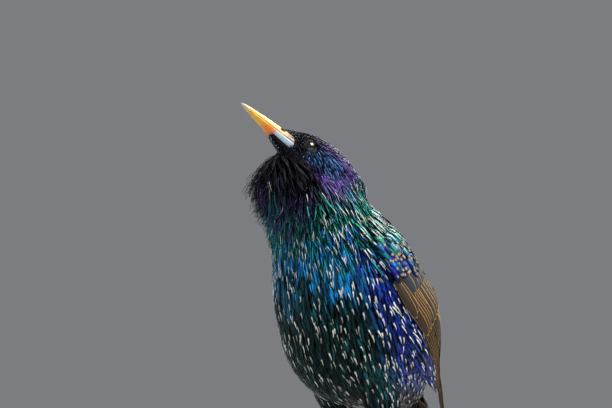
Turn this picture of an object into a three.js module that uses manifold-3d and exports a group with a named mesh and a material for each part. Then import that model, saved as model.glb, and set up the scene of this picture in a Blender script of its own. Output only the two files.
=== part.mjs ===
// A common starling in song, life size: it stands upright on both feet with its bill
// raised and the long feathers of its throat puffed out like a beard.
// Lengths are in millimetres. The bird faces -Y, its left side is +X and +Z is up.
// "forward" in a size below is the distance towards the breast, along -Y.

import * as THREE from "three";
import { mergeVertices } from "three/addons/utils/BufferGeometryUtils.js";
import Module from "manifold-3d";

const wasm = await Module();
wasm.setup();
const { Manifold } = wasm;

// Gap between neighbouring pieces, and how deep a feather's root is sunk.
const GAP = 0.3;
const ROOT_DEPTH = 1.4;

// The trunk from the end of the rump to inside the head, one station a row:
// forward, height, half width, depth to the back, depth to the breast.
const TRUNK = [
  [-52.5, 42.5, 0, 0, 0],
  [-43, 50.5, 12.5, 9.5, 10.5],
  [-29.5, 63, 27, 24, 27],
  [-14, 77, 36.8, 32, 37],
  [-4.5, 92, 36.4, 32, 35],
  [3, 107, 33, 29.5, 32.5],
  [11, 121, 27.3, 24, 27.3],
  [18.5, 134, 22.3, 19.5, 22],
  [25.5, 145.5, 18, 16.5, 18],
  [31, 152.5, 0, 0, 0],
];

// The bed of the folded wings has stations of the same kind, laid over the trunk.
const WING_BED = [
  [-79, 28, 2.5, 2, 2],
  [-67, 37, 8, 5, 5],
  [-55.5, 46, 14.5, 10, 9],
  [-40, 56, 23, 20.5, 18.5],
  [-28, 65, 31.5, 28.5, 29.5],
  [-14.5, 77.5, 38, 34.5, 38],
  [-4.5, 92, 37.2, 33, 36.2],
  [3, 107, 33.4, 30, 33.2],
  [11, 121, 27.6, 24.4, 27.6],
  [18.5, 134, 22.8, 20.2, 22.6],
];

// The head, in its own frame: x towards the bill tip, y to the left, z to the crown,
// from the middle between the eyes. A row is x, z, half width, height above, depth below.
const HEAD = [
  [-37, -7, 0, 0, 0],
  [-31, -4, 12.5, 8.5, 12],
  [-23, -1.5, 14.6, 10.3, 13.5],
  [-14, -1, 15.2, 11.8, 13.5],
  [-6, -1, 13.6, 11.9, 12],
  [0, -1, 10.8, 10.7, 10.3],
  [5, -1, 7.6, 8.5, 8.2],
  [9, -1, 5, 6.2, 6.8],
  [12.5, -1.2, 3.4, 4.5, 5.6],
  [15.5, -1.6, 2.2, 3.1, 4.3],
  [17.6, -2.2, 0, 0, 0],
];
const HEAD_PLACE = new THREE.Vector3(0, -30, 160);
const BILL_RAISE = 35;
const HEAD_TURN = 20;

// The puffed throat under the bill, in the head's frame: centre and half sizes.
const THROAT = { centre: [-2, 0, -15], half: [12.5, 12.5, 13.5] };

// Long pointed feathers of the neck, in rings round it: station, how many, length in
// stations, how far the tips stand off. Those of the throat hang from rings on the puff:
// angle below the bill's line, how many, length, and how steeply they droop.
const NECK_RINGS = [
  { station: 8.25, count: 11, length: 0.85, rise: 1.3 },
  { station: 7.6, count: 14, length: 0.9, rise: 1.5 },
  { station: 6.95, count: 17, length: 0.95, rise: 1.6 },
];
const BEARD_RINGS = [
  { below: 28, count: 4, arc: 110, length: 11, droop: 0.35 },
  { below: 55, count: 5, arc: 150, length: 14, droop: 0.55 },
  { below: 82, count: 6, arc: 170, length: 15, droop: 0.9 },
  { below: 108, count: 5, arc: 170, length: 14, droop: 1.5 },
];
const HACKLE = { half: [1.1, 1.7, 0.3], thick: 0.6 };

// Bill, in the head's frame. A row is x, z of the mouth line, half width, above, below.
const BILL = [
  [3, -2, 0, 0, 0],
  [7, -2, 5.5, 4.2, 4.1],
  [10.5, -1.9, 5.0, 4.1, 4.1],
  [15, -1.8, 4.0, 3.8, 3.7],
  [22, -1.7, 2.8, 2.9, 2.6],
  [29, -1.7, 1.8, 1.9, 1.7],
  [34.5, -1.8, 1.05, 1.1, 0.9],
  [37.6, -1.9, 0, 0, 0],
];
const CHIN = [
  [1, -4, 0, 0, 0],
  [6, -4.4, 3.4, 2.2, 3.8],
  [12, -4.2, 2.4, 1.9, 3.1],
  [17.5, -3.7, 1.2, 1.3, 2.3],
  [21, -3.4, 0, 0, 0],
];
const MOUTH = { x: 20, z: -1.8, tilt: -0.6 };
const NOSTRIL = { at: [14.4, 3.2, 0.3], half: [1.8, 0.9, 0.55] };
const EYE = { at: [0.4, 6.9, 0.6], radius: 3.7, lidLateral: 9.3, lidRadius: 3.05, lidThick: 0.6 };

// Cuts between head, neck and torso: a point on each, and its tilt from level.
const HEAD_CUT = { x: -6, z: -5.5, tilt: 18 };
const NECK_CUT = { forward: 5, height: 119.5, tilt: 31 };

// Flight and covert feathers of the left wing. A tier runs from its lowest feather to its
// highest: station and angle of the first and last root and tip, half width, height over the bed.
const WING_TIERS = [
  { count: 7, root: [[5.5, 0], [5.5, 14]], tip: [[0.2, 40], [2.3, 44]], half: 5, lift: 0, steps: 3 },
  { count: 5, root: [[5.4, 14], [5.3, 38]], tip: [[2.5, 38], [2.8, 56]], half: 5.6, lift: 0.5, steps: 3 },
  { count: 3, root: [[5.2, 43], [5.3, 58]], tip: [[2.9, 54], [3.7, 70]], half: 6, lift: 1, steps: 2 },
    { count: 6, root: [[6.0, 4], [6.0, 52]], tip: [[4.75, 8], [4.9, 56]], half: 4.6, lift: 1.0, steps: 1 },
  { count: 5, root: [[6.5, -1], [6.5, 52]], tip: [[5.65, 3], [5.75, 54]], half: 4.8, lift: 1.2, steps: 1 },
];
const WING_PILLOW = { from: [7.6, -12], to: [3.1, 62], thick: 4 };

// Tail: twelve feathers in a narrow fan.
const TAIL = { forward: -37, height: 53.5, slope: 37, length: 62, half: 4.8, spread: 1.7, side: 1.3 };

// Legs and feet, for the left side: left, forward and height of each joint.
const LEG = {
  knee: [13, -5, 61],
  heel: [14, -17, 30.5],
  ankle: [14.5, -8.5, 3.4],
  thighRadii: [11, 10, 7.2, 3.6],
  shankRadius: 1.5,
  heelRadius: 2.5,
};
const TOES = [
  { name: "inner", turn: 24, length: 15.5, radius: 1.35, claw: 5.5 },
  { name: "middle", turn: -4, length: 21.5, radius: 1.45, claw: 6.5 },
  { name: "outer", turn: -31, length: 16, radius: 1.3, claw: 5.5 },
  { name: "hind", turn: 176, length: 12, radius: 1.5, claw: 8 },
];

// Seeded random numbers from 0 to 1, so that every run grows the same plumage.
function seeded(seed) {
  let state = seed >>> 0;
  return () => {
    state = (state + 0x6d2b79f5) >>> 0;
    let mixed = Math.imul(state ^ (state >>> 15), 1 | state);
    mixed = (mixed + Math.imul(mixed ^ (mixed >>> 7), 61 | mixed)) ^ mixed;
    return ((mixed ^ (mixed >>> 14)) >>> 0) / 4294967296;
  };
}

const radians = THREE.MathUtils.degToRad;
const lerp = THREE.MathUtils.lerp;
const vector = (v) => new THREE.Vector3(...v);

// A body swelling through stations [x, z, half width, above, below]. The girth is
// interpolated by its square, so that a swelling that starts from nothing starts round.
class Swelling {
  constructor(stations, grow = 0) {
    const square = (v) => (v > 0 ? (v + grow) ** 2 : 0);
    this.last = stations.length - 1;
    this.spine = this.curve(stations.map((s) => [s[0], 0, s[1]]));
    this.girth = this.curve(stations.map((s) => [square(s[2]), square(s[3]), square(s[4])]));
  }

  curve(rows) {
    return new THREE.CatmullRomCurve3(rows.map(vector), false, "catmullrom", 0.5);
  }

  // The surface at a station number and an angle: 0 is the left side, 90 the back.
  at(station, angle) {
    const t = THREE.MathUtils.clamp(station / this.last, 0, 1);
    const centre = this.spine.getPoint(t);
    const along = this.spine.getTangent(t);
    const upward = new THREE.Vector3(-along.z, 0, along.x);
    const girth = this.girth.getPoint(t);
    const c = Math.cos(radians(angle));
    const s = Math.sin(radians(angle));
    const rise = Math.sqrt(Math.max(0, s > 0 ? girth.y : girth.z));
    return centre
      .addScaledVector(upward, rise * s)
      .add(new THREE.Vector3(0, Math.sqrt(Math.max(0, girth.x)) * c, 0));
  }

  normal(station, angle) {
    const step = 0.02;
    const ahead = this.at(station + step, angle).sub(this.at(station - step, angle));
    const around = this.at(station, angle + 1).sub(this.at(station, angle - 1));
    return around.cross(ahead).normalize();
  }

  // A point raised off the surface.
  over(station, angle, lift) {
    return this.at(station, angle).addScaledVector(this.normal(station, angle), lift);
  }

  solid(rings, sides) {
    return shaped(new THREE.SphereGeometry(1, sides, rings), (p) => {
      const fromEnd = Math.acos(THREE.MathUtils.clamp(p.y, -1, 1)) / Math.PI;
      const eased = fromEnd - Math.sin(2 * Math.PI * fromEnd) / (5 * Math.PI);
      const angle = THREE.MathUtils.radToDeg(Math.atan2(p.z, p.x));
      return this.at((1 - eased) * this.last, angle);
    });
  }
}

// Moves each vertex of a three.js geometry by a function, and closes its seams.
function shaped(geometry, move) {
  const bare = geometry.clone();
  bare.deleteAttribute("normal");
  bare.deleteAttribute("uv");
  const welded = mergeVertices(bare, 1e-4);
  const position = welded.getAttribute("position");
  const point = new THREE.Vector3();
  for (let i = 0; i < position.count; i++) {
    point.fromBufferAttribute(position, i);
    position.setXYZ(i, ...move(point.clone()).toArray());
  }
  return solidOf(welded);
}

function solidOf(geometry) {
  const made = new Manifold(
    new wasm.Mesh({
      numProp: 3,
      vertProperties: new Float32Array(geometry.getAttribute("position").array),
      triVerts: new Uint32Array(geometry.index.array),
    }),
  );
  return made.volume() < 0 ? turnedOut(geometry) : made;
}

// The same closed surface with each triangle's corners in the other order.
function turnedOut(geometry) {
  const order = new Uint32Array(geometry.index.array);
  for (let i = 0; i < order.length; i += 3) [order[i + 1], order[i + 2]] = [order[i + 2], order[i + 1]];
  return new Manifold(
    new wasm.Mesh({
      numProp: 3,
      vertProperties: new Float32Array(geometry.getAttribute("position").array),
      triVerts: order,
    }),
  );
}

const joined = (solids) => solids.reduce((whole, next) => whole.add(next));
const largest = (solid) => solid.decompose().sort((a, b) => b.volume() - a.volume())[0];

// A thin vane over a row of points, each with its own normal and half width.
// Both faces are split into the same triangles. roll lifts one edge over its neighbour.
function vane(rows, { thick = 0.6, across = 1, roll = 0, cup = 0 } = {}) {
  const steps = rows.length - 1;
  const box = new THREE.BoxGeometry(1, 1, 1, across, steps, 1);
  return shaped(box, (p) => {
    const i = Math.round((p.y + 0.5) * steps);
    const row = rows[i];
    const before = rows[Math.max(0, i - 1)].at;
    const after = rows[Math.min(steps, i + 1)].at;
    const along = after.clone().sub(before).normalize();
    const side = along.clone().cross(row.normal).normalize();
    const up = side.clone().cross(along).normalize();
    const offset = 2 * p.x;
    const reach = across > 1 ? (row.point ?? 0) * (1 - Math.abs(offset)) : 0;
    const depth = thick * (row.thin ?? 1);
    return row.at
      .clone()
      .addScaledVector(along, reach)
      .addScaledVector(side, offset * row.half)
      .addScaledVector(up, p.z * depth + offset * roll - cup * offset * offset);
  });
}

const parts = [];

function piece(name, solid, material) {
  const mesh = solid.getMesh();
  const geometry = new THREE.BufferGeometry();
  geometry.setAttribute("position", new THREE.BufferAttribute(mesh.vertProperties, 3));
  geometry.setIndex(new THREE.BufferAttribute(mesh.triVerts, 1));
  geometry.computeVertexNormals();
  const made = new THREE.Mesh(geometry, material);
  made.name = name;
  parts.push(made);
}

// A round limb along a row of points, with a radius at each and level ends.
function limb(points, radii, sides) {
  const path = new THREE.CatmullRomCurve3(points.map(vector), false, "catmullrom", 0.5);
  const steps = radii.length - 1;
  const first = path.getTangent(0);
  const aside = new THREE.Vector3(1, 0.1, 0).cross(first).normalize();
  return shaped(new THREE.CylinderGeometry(1, 1, 1, sides, steps), (p) => {
    const t = 0.5 - p.y;
    const along = path.getTangent(t);
    const u = aside.clone().addScaledVector(along, -aside.dot(along)).normalize();
    const v = along.clone().cross(u);
    const radius = radii[Math.round(t * steps)];
    return path.getPoint(t).addScaledVector(u, p.x * radius).addScaledVector(v, p.z * radius);
  });
}

const ellipsoid = (centre, half, rings, sides) =>
  shaped(new THREE.SphereGeometry(1, sides, rings), (p) => p.multiply(vector(half)).add(vector(centre)));
const ball = (centre, radius) => ellipsoid(centre, [radius, radius, radius], 8, 12);
const placed = (solid, matrix) => solid.transform(matrix.elements);
const mirrored = (solid) => solid.mirror([1, 0, 0]);

// The stations count forward along x; the bird faces -Y. The head's frame is turned and raised.
const toBird = new THREE.Matrix4().makeRotationZ(radians(-90));
const headToBird = new THREE.Matrix4()
  .makeTranslation(HEAD_PLACE)
  .multiply(new THREE.Matrix4().makeRotationZ(radians(-90 - HEAD_TURN)))
  .multiply(new THREE.Matrix4().makeRotationY(radians(-BILL_RAISE)));
const inBird = ([left, forward, height]) => [left, -forward, height];

// The part of a solid on one side of a cut: side 1 above it, -1 below, moved up by shift.
const headCut = headToBird
  .clone()
  .multiply(new THREE.Matrix4().makeTranslation(HEAD_CUT.x, 0, HEAD_CUT.z))
  .multiply(new THREE.Matrix4().makeRotationY(radians(HEAD_CUT.tilt)));
const neckCut = toBird
  .clone()
  .multiply(new THREE.Matrix4().makeTranslation(NECK_CUT.forward, 0, NECK_CUT.height))
  .multiply(new THREE.Matrix4().makeRotationY(radians(NECK_CUT.tilt)));
const mouthCut = headToBird
  .clone()
  .multiply(new THREE.Matrix4().makeTranslation(MOUTH.x, 0, MOUTH.z))
  .multiply(new THREE.Matrix4().makeRotationY(radians(MOUTH.tilt)));
function sideOf(solid, cut, side, shift = (side * GAP) / 2) {
  const size = 400;
  const block = shaped(new THREE.BoxGeometry(size, size, size), (p) => p.add(vector([0, 0, (side * size) / 2 + shift])));
  return solid.intersect(placed(block, cut));
}

// Body: trunk, head and throat are one form, parted at the two cuts.
const trunk = new Swelling(TRUNK);
const trunkSolid = placed(trunk.solid(21, 32), toBird);
const trunkGrown = placed(new Swelling(TRUNK, GAP).solid(21, 32), toBird);
const headShape = new Swelling(HEAD);
const chin = placed(new Swelling(CHIN).solid(8, 12), headToBird);
const chinGrown = placed(new Swelling(CHIN, GAP).solid(8, 12), headToBird);
const skull = placed(headShape.solid(17, 24), headToBird);
const skullGrown = placed(new Swelling(HEAD, GAP).solid(17, 24), headToBird);
const throat = placed(ellipsoid(THROAT.centre, THROAT.half, 12, 18), headToBird);
const form = joined([trunkSolid, skull, throat]);

// Eyes and the ring of lid round each.
const eyes = [1, -1].map((side) => {
  const at = [EYE.at[0], side * EYE.at[1], EYE.at[2]];
  const ring = shaped(new THREE.TorusGeometry(EYE.lidRadius, EYE.lidThick, 6, 18), (p) =>
    vector([EYE.at[0] + p.x, side * (EYE.lidLateral + p.z), EYE.at[2] + p.y]),
  );
  return {
    eye: placed(ball(at, EYE.radius), headToBird),
    socket: placed(ball(at, EYE.radius + GAP), headToBird),
    lid: placed(ring, headToBird),
  };
});

// Bill: one horn-like form parted along the mouth, with the chin between its lower arms.
const billWhole = placed(new Swelling(BILL).solid(14, 16), headToBird).subtract(skullGrown);
const nostrils = [1, -1].map((side) =>
  placed(ellipsoid([NOSTRIL.at[0], side * NOSTRIL.at[1], NOSTRIL.at[2]], NOSTRIL.half, 6, 8), headToBird),
);
const billUpper = largest(sideOf(billWhole, mouthCut, 1).subtract(joined(nostrils)));
const billLower = largest(sideOf(billWhole, mouthCut, -1).subtract(chinGrown));

// Head, neck and torso.
const headSolid = largest(
  joined([sideOf(sideOf(form, headCut, 1), neckCut, 1), sideOf(chin, headCut, 1), ...eyes.map((e) => e.lid)])
    .subtract(joined(eyes.map((e) => e.socket))),
);
const torsoSolid = largest(sideOf(form, neckCut, -1));

// The neck carries the hackles, kept off the torso below it and the head above.
function hackles() {
  const random = seeded(11);
  const around = (span) => (random() - 0.5) * span;
  const made = [];
  NECK_RINGS.forEach(({ station, count, length, rise }, ring) => {
    for (let i = 0; i < count; i++) {
      const angle = -90 + ((i + 0.5 * (ring % 2)) / count) * 360 + around(8);
      const long = length * (1 + around(0.3));
      const front = Math.max(0, -Math.sin(radians(angle)));
      const lifts = [-ROOT_DEPTH, 0.8, rise * (1 + 0.7 * front)];
      const rows = lifts.map((lift, k) => ({
        at: trunk.over(station - (long * k) / 2, angle + around(3), lift).applyMatrix4(toBird),
        normal: trunk.normal(station - (long * k) / 2, angle).applyMatrix4(toBird),
        half: HACKLE.half[k],
      }));
      made.push(vane(rows, { thick: HACKLE.thick }));
    }
  });
  const turnOnly = new THREE.Matrix4().extractRotation(headToBird);
  const down = vector([0, 0.15, -1]).normalize();
  for (const { below, count, arc, length, droop } of BEARD_RINGS) {
    for (let i = 0; i < count; i++) {
      const aside = radians(arc * ((i + 0.5) / count - 0.5) + around(7));
      const tilt = radians(below + around(8));
      const outward = vector([Math.cos(tilt) * Math.cos(aside), Math.sin(aside), -Math.sin(tilt) * Math.cos(aside)]);
      const root = outward.clone().multiply(vector(THROAT.half)).add(vector(THROAT.centre)).applyMatrix4(headToBird);
      const away = outward.clone().applyMatrix4(turnOnly);
      const long = length * (1 + around(0.3));
      const way = away.clone().addScaledVector(down, droop).normalize();
      const late = away.clone().addScaledVector(down, 2.2 * droop + 0.3).normalize();
      const points = [
        root.clone().addScaledVector(way, -ROOT_DEPTH - 0.4),
        root.clone().addScaledVector(way, long * 0.45),
        root.clone().addScaledVector(way, long * 0.45).addScaledVector(late, long * 0.55),
      ];
      made.push(vane(points.map((at, k) => ({ at, normal: away, half: HACKLE.half[k] })), { thick: HACKLE.thick }));
    }
  }
  return joined(made);
}

const formGrown = joined([trunkGrown, skullGrown, throat]);
const neckSolid = largest(
  joined([sideOf(sideOf(form, headCut, -1), neckCut, 1), hackles()])
    .subtract(sideOf(formGrown, neckCut, -1, 0.1))
    .subtract(sideOf(sideOf(formGrown, headCut, 1, -0.1), neckCut, 1)),
);

// Wings: a pillow over the flank that carries the tiers of vanes.
const bed = new Swelling(WING_BED);
const onBed = (station, angle, lift) => bed.over(station, angle, lift).applyMatrix4(toBird);
const bedNormal = (station, angle) => bed.normal(station, angle).applyMatrix4(toBird);

function wingVane(root, tip, half, lift, steps) {
  const rows = [];
  for (let i = 0; i <= steps; i++) {
    const t = i / steps;
    const station = lerp(root[0], tip[0], t);
    const angle = lerp(root[1], tip[1], t * t * (3 - 2 * t));
    const width = half * Math.min(1, 0.62 + 1.1 * t) * (t > 0.86 ? 0.62 : 1) * (station < 2 ? 0.8 : 1);
    rows.push({ at: onBed(station, angle, lift), normal: bedNormal(station, angle), half: width, point: i === steps ? 1.6 : 0 });
  }
  return vane(rows, { thick: 0.7, roll: -0.35 });
}

function wing() {
  const { from, to, thick } = WING_PILLOW;
  const pillow = shaped(new THREE.BoxGeometry(1, 1, 1, 5, 6, 1), (p) => {
    const u = p.x + 0.5;
    const v = p.y + 0.5;
    const station = lerp(from[0], to[0], v);
    const angle = lerp(from[1], to[1], u);
    const edge = Math.min(1, 4.5 * Math.min(u, 1 - u, 2 * v, 2 * (1 - v)) + 0.35);
    return onBed(station, angle, p.z > 0 ? 1.1 * edge - 0.3 : -thick);
  });
  const vanes = WING_TIERS.flatMap(({ count, root, tip, half, lift, steps }) =>
    Array.from({ length: count }, (_, i) => {
      const t = count > 1 ? i / (count - 1) : 0;
      const between = (ends) => [lerp(ends[0][0], ends[1][0], t), lerp(ends[0][1], ends[1][1], t)];
      return wingVane(between(root), between(tip), half, lift + 0.25 * t, steps);
    }),
  );
  return joined([pillow, ...vanes]);
}

// Tail: the feathers stack up from the outer pair to the middle pair.
function tail() {
  const { forward, height, slope, length, half, spread, side } = TAIL;
  const back = vector([0, Math.cos(radians(slope)), -Math.sin(radians(slope))]);
  const up = vector([0, Math.sin(radians(slope)), Math.cos(radians(slope))]);
  const base = vector(inBird([0, forward, height]));
  const vanes = [];
  for (let pair = 5; pair >= 0; pair--) {
    for (const hand of [1, -1]) {
      const turn = radians(hand * spread * (pair + 0.3));
      const away = back.clone().applyAxisAngle(up, turn);
      const level = -0.55 * pair + (hand > 0 ? 0.28 : 0);
      const rows = Array.from({ length: 4 }, (_, i) => {
        const t = i / 3;
        const reach = length * (0.95 + 0.01 * pair) * t;
        return {
          at: base.clone().addScaledVector(away, reach).addScaledVector(up, level)
            .add(vector([hand * side * (pair + 0.5), 0, 0])),
          normal: up,
          half: half * Math.min(1, 0.6 + t) * (i === 3 ? 0.55 : 1),
        };
      });
      vanes.push(vane(rows, { thick: 0.7 }));
    }
  }
  const root = shaped(new THREE.SphereGeometry(1, 16, 10), (p) =>
    base.clone().addScaledVector(back, 6 + 13 * p.y).addScaledVector(up, -1.6 + 3.6 * p.z).add(vector([9.5 * p.x, 0, 0])),
  );
  return joined([root, ...vanes]);
}

// Legs: the feathered thigh, the bare shank and the toes with their claws.
function leg() {
  const knee = inBird(LEG.knee);
  const heel = inBird(LEG.heel);
  const ankle = inBird(LEG.ankle);
  const mid = (a, b, t) => a.map((v, i) => lerp(v, b[i], t));
  const r = LEG.shankRadius;
  const shankOf = (grow) =>
    joined([
      limb([heel, mid(heel, ankle, 0.5), ankle], [2.2, 1.75, 1.5, 1.45, 1.45, 1.6].map((v) => v * (r / 1.5) + grow), 8),
      ball(heel, LEG.heelRadius + grow),
    ]);
  const thigh = limb([knee, mid(knee, heel, 0.5), mid(knee, heel, 0.97)], LEG.thighRadii, 14);
  const toes = TOES.map(({ name, turn, length, radius, claw }) => {
    const away = vector([Math.sin(radians(turn)), -Math.cos(radians(turn)), 0]);
    const level = (reach, height) => [ankle[0] - away.x * -reach, ankle[1] + away.y * reach, height];
    const joint = radius - 0.18;
    const radii = [1.15, 1.05, 0.86, 1.05, 0.8, 0.95, 0.5].map((v) => v * radius);
    const toe = (grow) =>
      limb([level(0, 2.2), level(length * 0.25, joint + 0.1), level(length * 0.6, joint), level(length, joint * 0.95)],
        radii.map((v) => v + grow), 6);
    const c = length - 0.7;
    const clawSolid = limb(
      [level(c, 1.25), level(c + claw * 0.4, 1.85), level(c + claw * 0.78, 1.2), level(c + claw, 0.12)],
      [0.85, 0.68, 0.42, 0.08],
      6,
    );
    return { name, toe, claw: clawSolid };
  });
  const footOf = (grow) => joined([...toes.map((t) => t.toe(grow)), ball([ankle[0], ankle[1], 2.3], 2.1 + grow)]);
  const floor = shaped(new THREE.BoxGeometry(200, 200, 20), (p) => p.add(vector([0, 0, -10])));
  return {
    thigh: largest(thigh.subtract(shankOf(GAP)).subtract(trunkGrown)),
    shank: largest(shankOf(0).subtract(footOf(GAP))),
    foot: largest(footOf(0).subtract(floor)),
    claws: toes.map((t) => ({ name: t.name, solid: largest(t.claw.subtract(footOf(GAP)).subtract(floor)) })),
  };
}

const coat = (colour) => new THREE.MeshStandardMaterial({ color: colour, roughness: 0.38, metalness: 0.45 });
const materials = {
  head: coat(0x2c2344),
  neck: coat(0x1e3f57),
  torso: coat(0x15434d),
  wing: coat(0x4a3a26),
  tail: coat(0x3a3128),
  thigh: coat(0x1a2a33),
  horn: new THREE.MeshStandardMaterial({ color: 0xe6b04c, roughness: 0.35 }),
  hornBlue: new THREE.MeshStandardMaterial({ color: 0xb9b48c, roughness: 0.35 }),
  eye: new THREE.MeshStandardMaterial({ color: 0x160c08, roughness: 0.06 }),
  leg: new THREE.MeshStandardMaterial({ color: 0xa4624a, roughness: 0.5 }),
  claw: new THREE.MeshStandardMaterial({ color: 0x3a2a24, roughness: 0.35 }),
};

const midline = shaped(new THREE.BoxGeometry(400, 400, 400), (p) => p.add(vector([200 + GAP, 0, 0])));
const tailSolid = largest(tail().subtract(trunkGrown));
const wingSolid = largest(wing().intersect(midline).subtract(trunkGrown));
const legs = leg();

piece("head", headSolid, materials.head);
piece("neck", neckSolid, materials.neck);
piece("torso", torsoSolid, materials.torso);
piece("bill_upper", billUpper, materials.horn);
piece("bill_lower", billLower, materials.hornBlue);
piece("tail", tailSolid, materials.tail);
for (const [hand, turned] of [["left", (s) => s], ["right", mirrored]]) {
  piece("eye_" + hand, eyes[hand === "left" ? 0 : 1].eye, materials.eye);
  piece("wing_" + hand, turned(wingSolid), materials.wing);
  piece("thigh_" + hand, turned(legs.thigh), materials.thigh);
  piece("shank_" + hand, turned(legs.shank), materials.leg);
  piece("foot_" + hand, turned(legs.foot), materials.leg);
  for (const claw of legs.claws) piece("claw_" + claw.name + "_" + hand, turned(claw.solid), materials.claw);
}

// The origin is the middle of the whole bird's bounding box, at the floor.
const bird = new THREE.Group();
bird.name = "starling";
bird.add(...parts);
const box = new THREE.Box3().setFromObject(bird);
bird.position.set(-(box.min.x + box.max.x) / 2, -(box.min.y + box.max.y) / 2, -box.min.z);

export default bird;
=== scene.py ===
# A common starling in song: skin, coat, wings, tail, bill, eyes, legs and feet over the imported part.
import math
from itertools import product

import bpy
import numpy as np
from mathutils import Matrix, Vector
from mathutils.bvhtree import BVHTree


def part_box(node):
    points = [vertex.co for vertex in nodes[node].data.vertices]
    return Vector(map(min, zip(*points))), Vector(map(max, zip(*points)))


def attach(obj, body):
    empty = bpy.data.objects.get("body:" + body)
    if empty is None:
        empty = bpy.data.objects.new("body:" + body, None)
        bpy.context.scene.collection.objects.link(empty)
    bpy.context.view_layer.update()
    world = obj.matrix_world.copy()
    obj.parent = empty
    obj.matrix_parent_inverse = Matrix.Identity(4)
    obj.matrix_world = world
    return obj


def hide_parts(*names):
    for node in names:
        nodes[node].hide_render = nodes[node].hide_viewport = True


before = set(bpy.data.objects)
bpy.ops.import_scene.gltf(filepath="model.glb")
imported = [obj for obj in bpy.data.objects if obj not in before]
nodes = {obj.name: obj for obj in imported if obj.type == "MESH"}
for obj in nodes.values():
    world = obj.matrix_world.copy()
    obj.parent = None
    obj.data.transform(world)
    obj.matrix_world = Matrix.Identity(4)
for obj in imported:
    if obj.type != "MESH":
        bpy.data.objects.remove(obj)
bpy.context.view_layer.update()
mm = 0.001
print("frame loaded:", len(nodes), "nodes")

# The same stations as the part's source, in millimetres:
# forward, height, half width, depth to the back, depth to the breast
trunkStations = [
    (-52.5, 42.5, 0, 0, 0), (-43, 50.5, 12.5, 9.5, 10.5), (-29.5, 63, 27, 24, 27),
    (-14, 77, 36.8, 32, 37), (-4.5, 92, 36.4, 32, 35), (3, 107, 33, 29.5, 32.5),
    (11, 121, 27.3, 24, 27.3), (18.5, 134, 22.3, 19.5, 22), (25.5, 145.5, 18, 16.5, 18),
    (31, 152.5, 0, 0, 0),
]
wingStations = [
    (-79, 28, 2.5, 2, 2), (-67, 37, 8, 5, 5), (-55.5, 46, 14.5, 10, 9), (-40, 56, 23, 20.5, 18.5),
    (-28, 65, 31.5, 28.5, 29.5), (-14.5, 77.5, 38, 34.5, 38), (-4.5, 92, 37.2, 33, 36.2),
    (3, 107, 33.4, 30, 33.2), (11, 121, 27.6, 24.4, 27.6), (18.5, 134, 22.8, 20.2, 22.6),
]
headStations = [
    (-37, -7, 0, 0, 0), (-31, -4, 12.5, 8.5, 12), (-23, -1.5, 14.6, 10.3, 13.5),
    (-14, -1, 15.2, 11.8, 13.5), (-6, -1, 13.6, 11.9, 12), (0, -1, 10.8, 10.7, 10.3),
    (5, -1, 7.6, 8.5, 8.2), (9, -1, 5, 6.2, 6.8), (12.5, -1.2, 3.4, 4.5, 5.6),
    (15.5, -1.6, 2.2, 3.1, 4.3), (17.6, -2.2, 0, 0, 0),
]
billStations = [
    (3, -2, 0, 0, 0), (7, -2, 5.5, 4.2, 4.1), (10.5, -1.9, 5.0, 4.1, 4.1), (15, -1.8, 4.0, 3.8, 3.7),
    (22, -1.7, 2.8, 2.9, 2.6), (29, -1.7, 1.8, 1.9, 1.7), (34.5, -1.8, 1.05, 1.1, 0.9),
    (37.6, -1.9, 0, 0, 0),
]
chinStations = [
    (1, -4, 0, 0, 0), (6, -4.4, 3.4, 2.2, 3.8), (12, -4.2, 2.4, 1.9, 3.1), (17.5, -3.7, 1.2, 1.3, 2.3),
    (21, -3.4, 0, 0, 0),
]
throatForm = {"centre": (-2, 0, -15), "half": (12.5, 12.5, 13.5)}
headPlace = {"at": (0, -30, 160), "raise": 35, "turn": 20}
eyeForm = {"at": (0.4, 6.9, 0.6), "radius": 3.7}
legForm = {
    "knee": (13, 5, 61), "heel": (14, 17, 30.5), "ankle": (14.5, 8.5, 3.4),
    "thighRadii": (11, 10, 7.2, 3.6),
}


def unit(v):
    return v / np.maximum(np.linalg.norm(v, axis=-1, keepdims=True), 1e-12)


def smooth(x, low, high):
    t = np.clip((x - low) / (high - low), 0, 1)
    return t * t * (3 - 2 * t)


headMatrix = np.array(
    Matrix.Translation(headPlace["at"])
    @ Matrix.Rotation(math.radians(-90 - headPlace["turn"]), 4, "Z")
    @ Matrix.Rotation(math.radians(-headPlace["raise"]), 4, "Y")
)
bodyMatrix = np.array(Matrix.Rotation(math.radians(-90), 4, "Z"))


def moved(points, m):
    return points @ m[:3, :3].T + m[:3, 3]


def turned(vectors, m):
    return vectors @ m[:3, :3].T


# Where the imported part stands, from its left eye
eyeLow, eyeHigh = (np.array(c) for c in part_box("eye_left"))
eyeMade = moved(np.array([eyeForm["at"]]), headMatrix)[0]
shift = (eyeLow + eyeHigh) / 2 / mm - eyeMade


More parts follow.
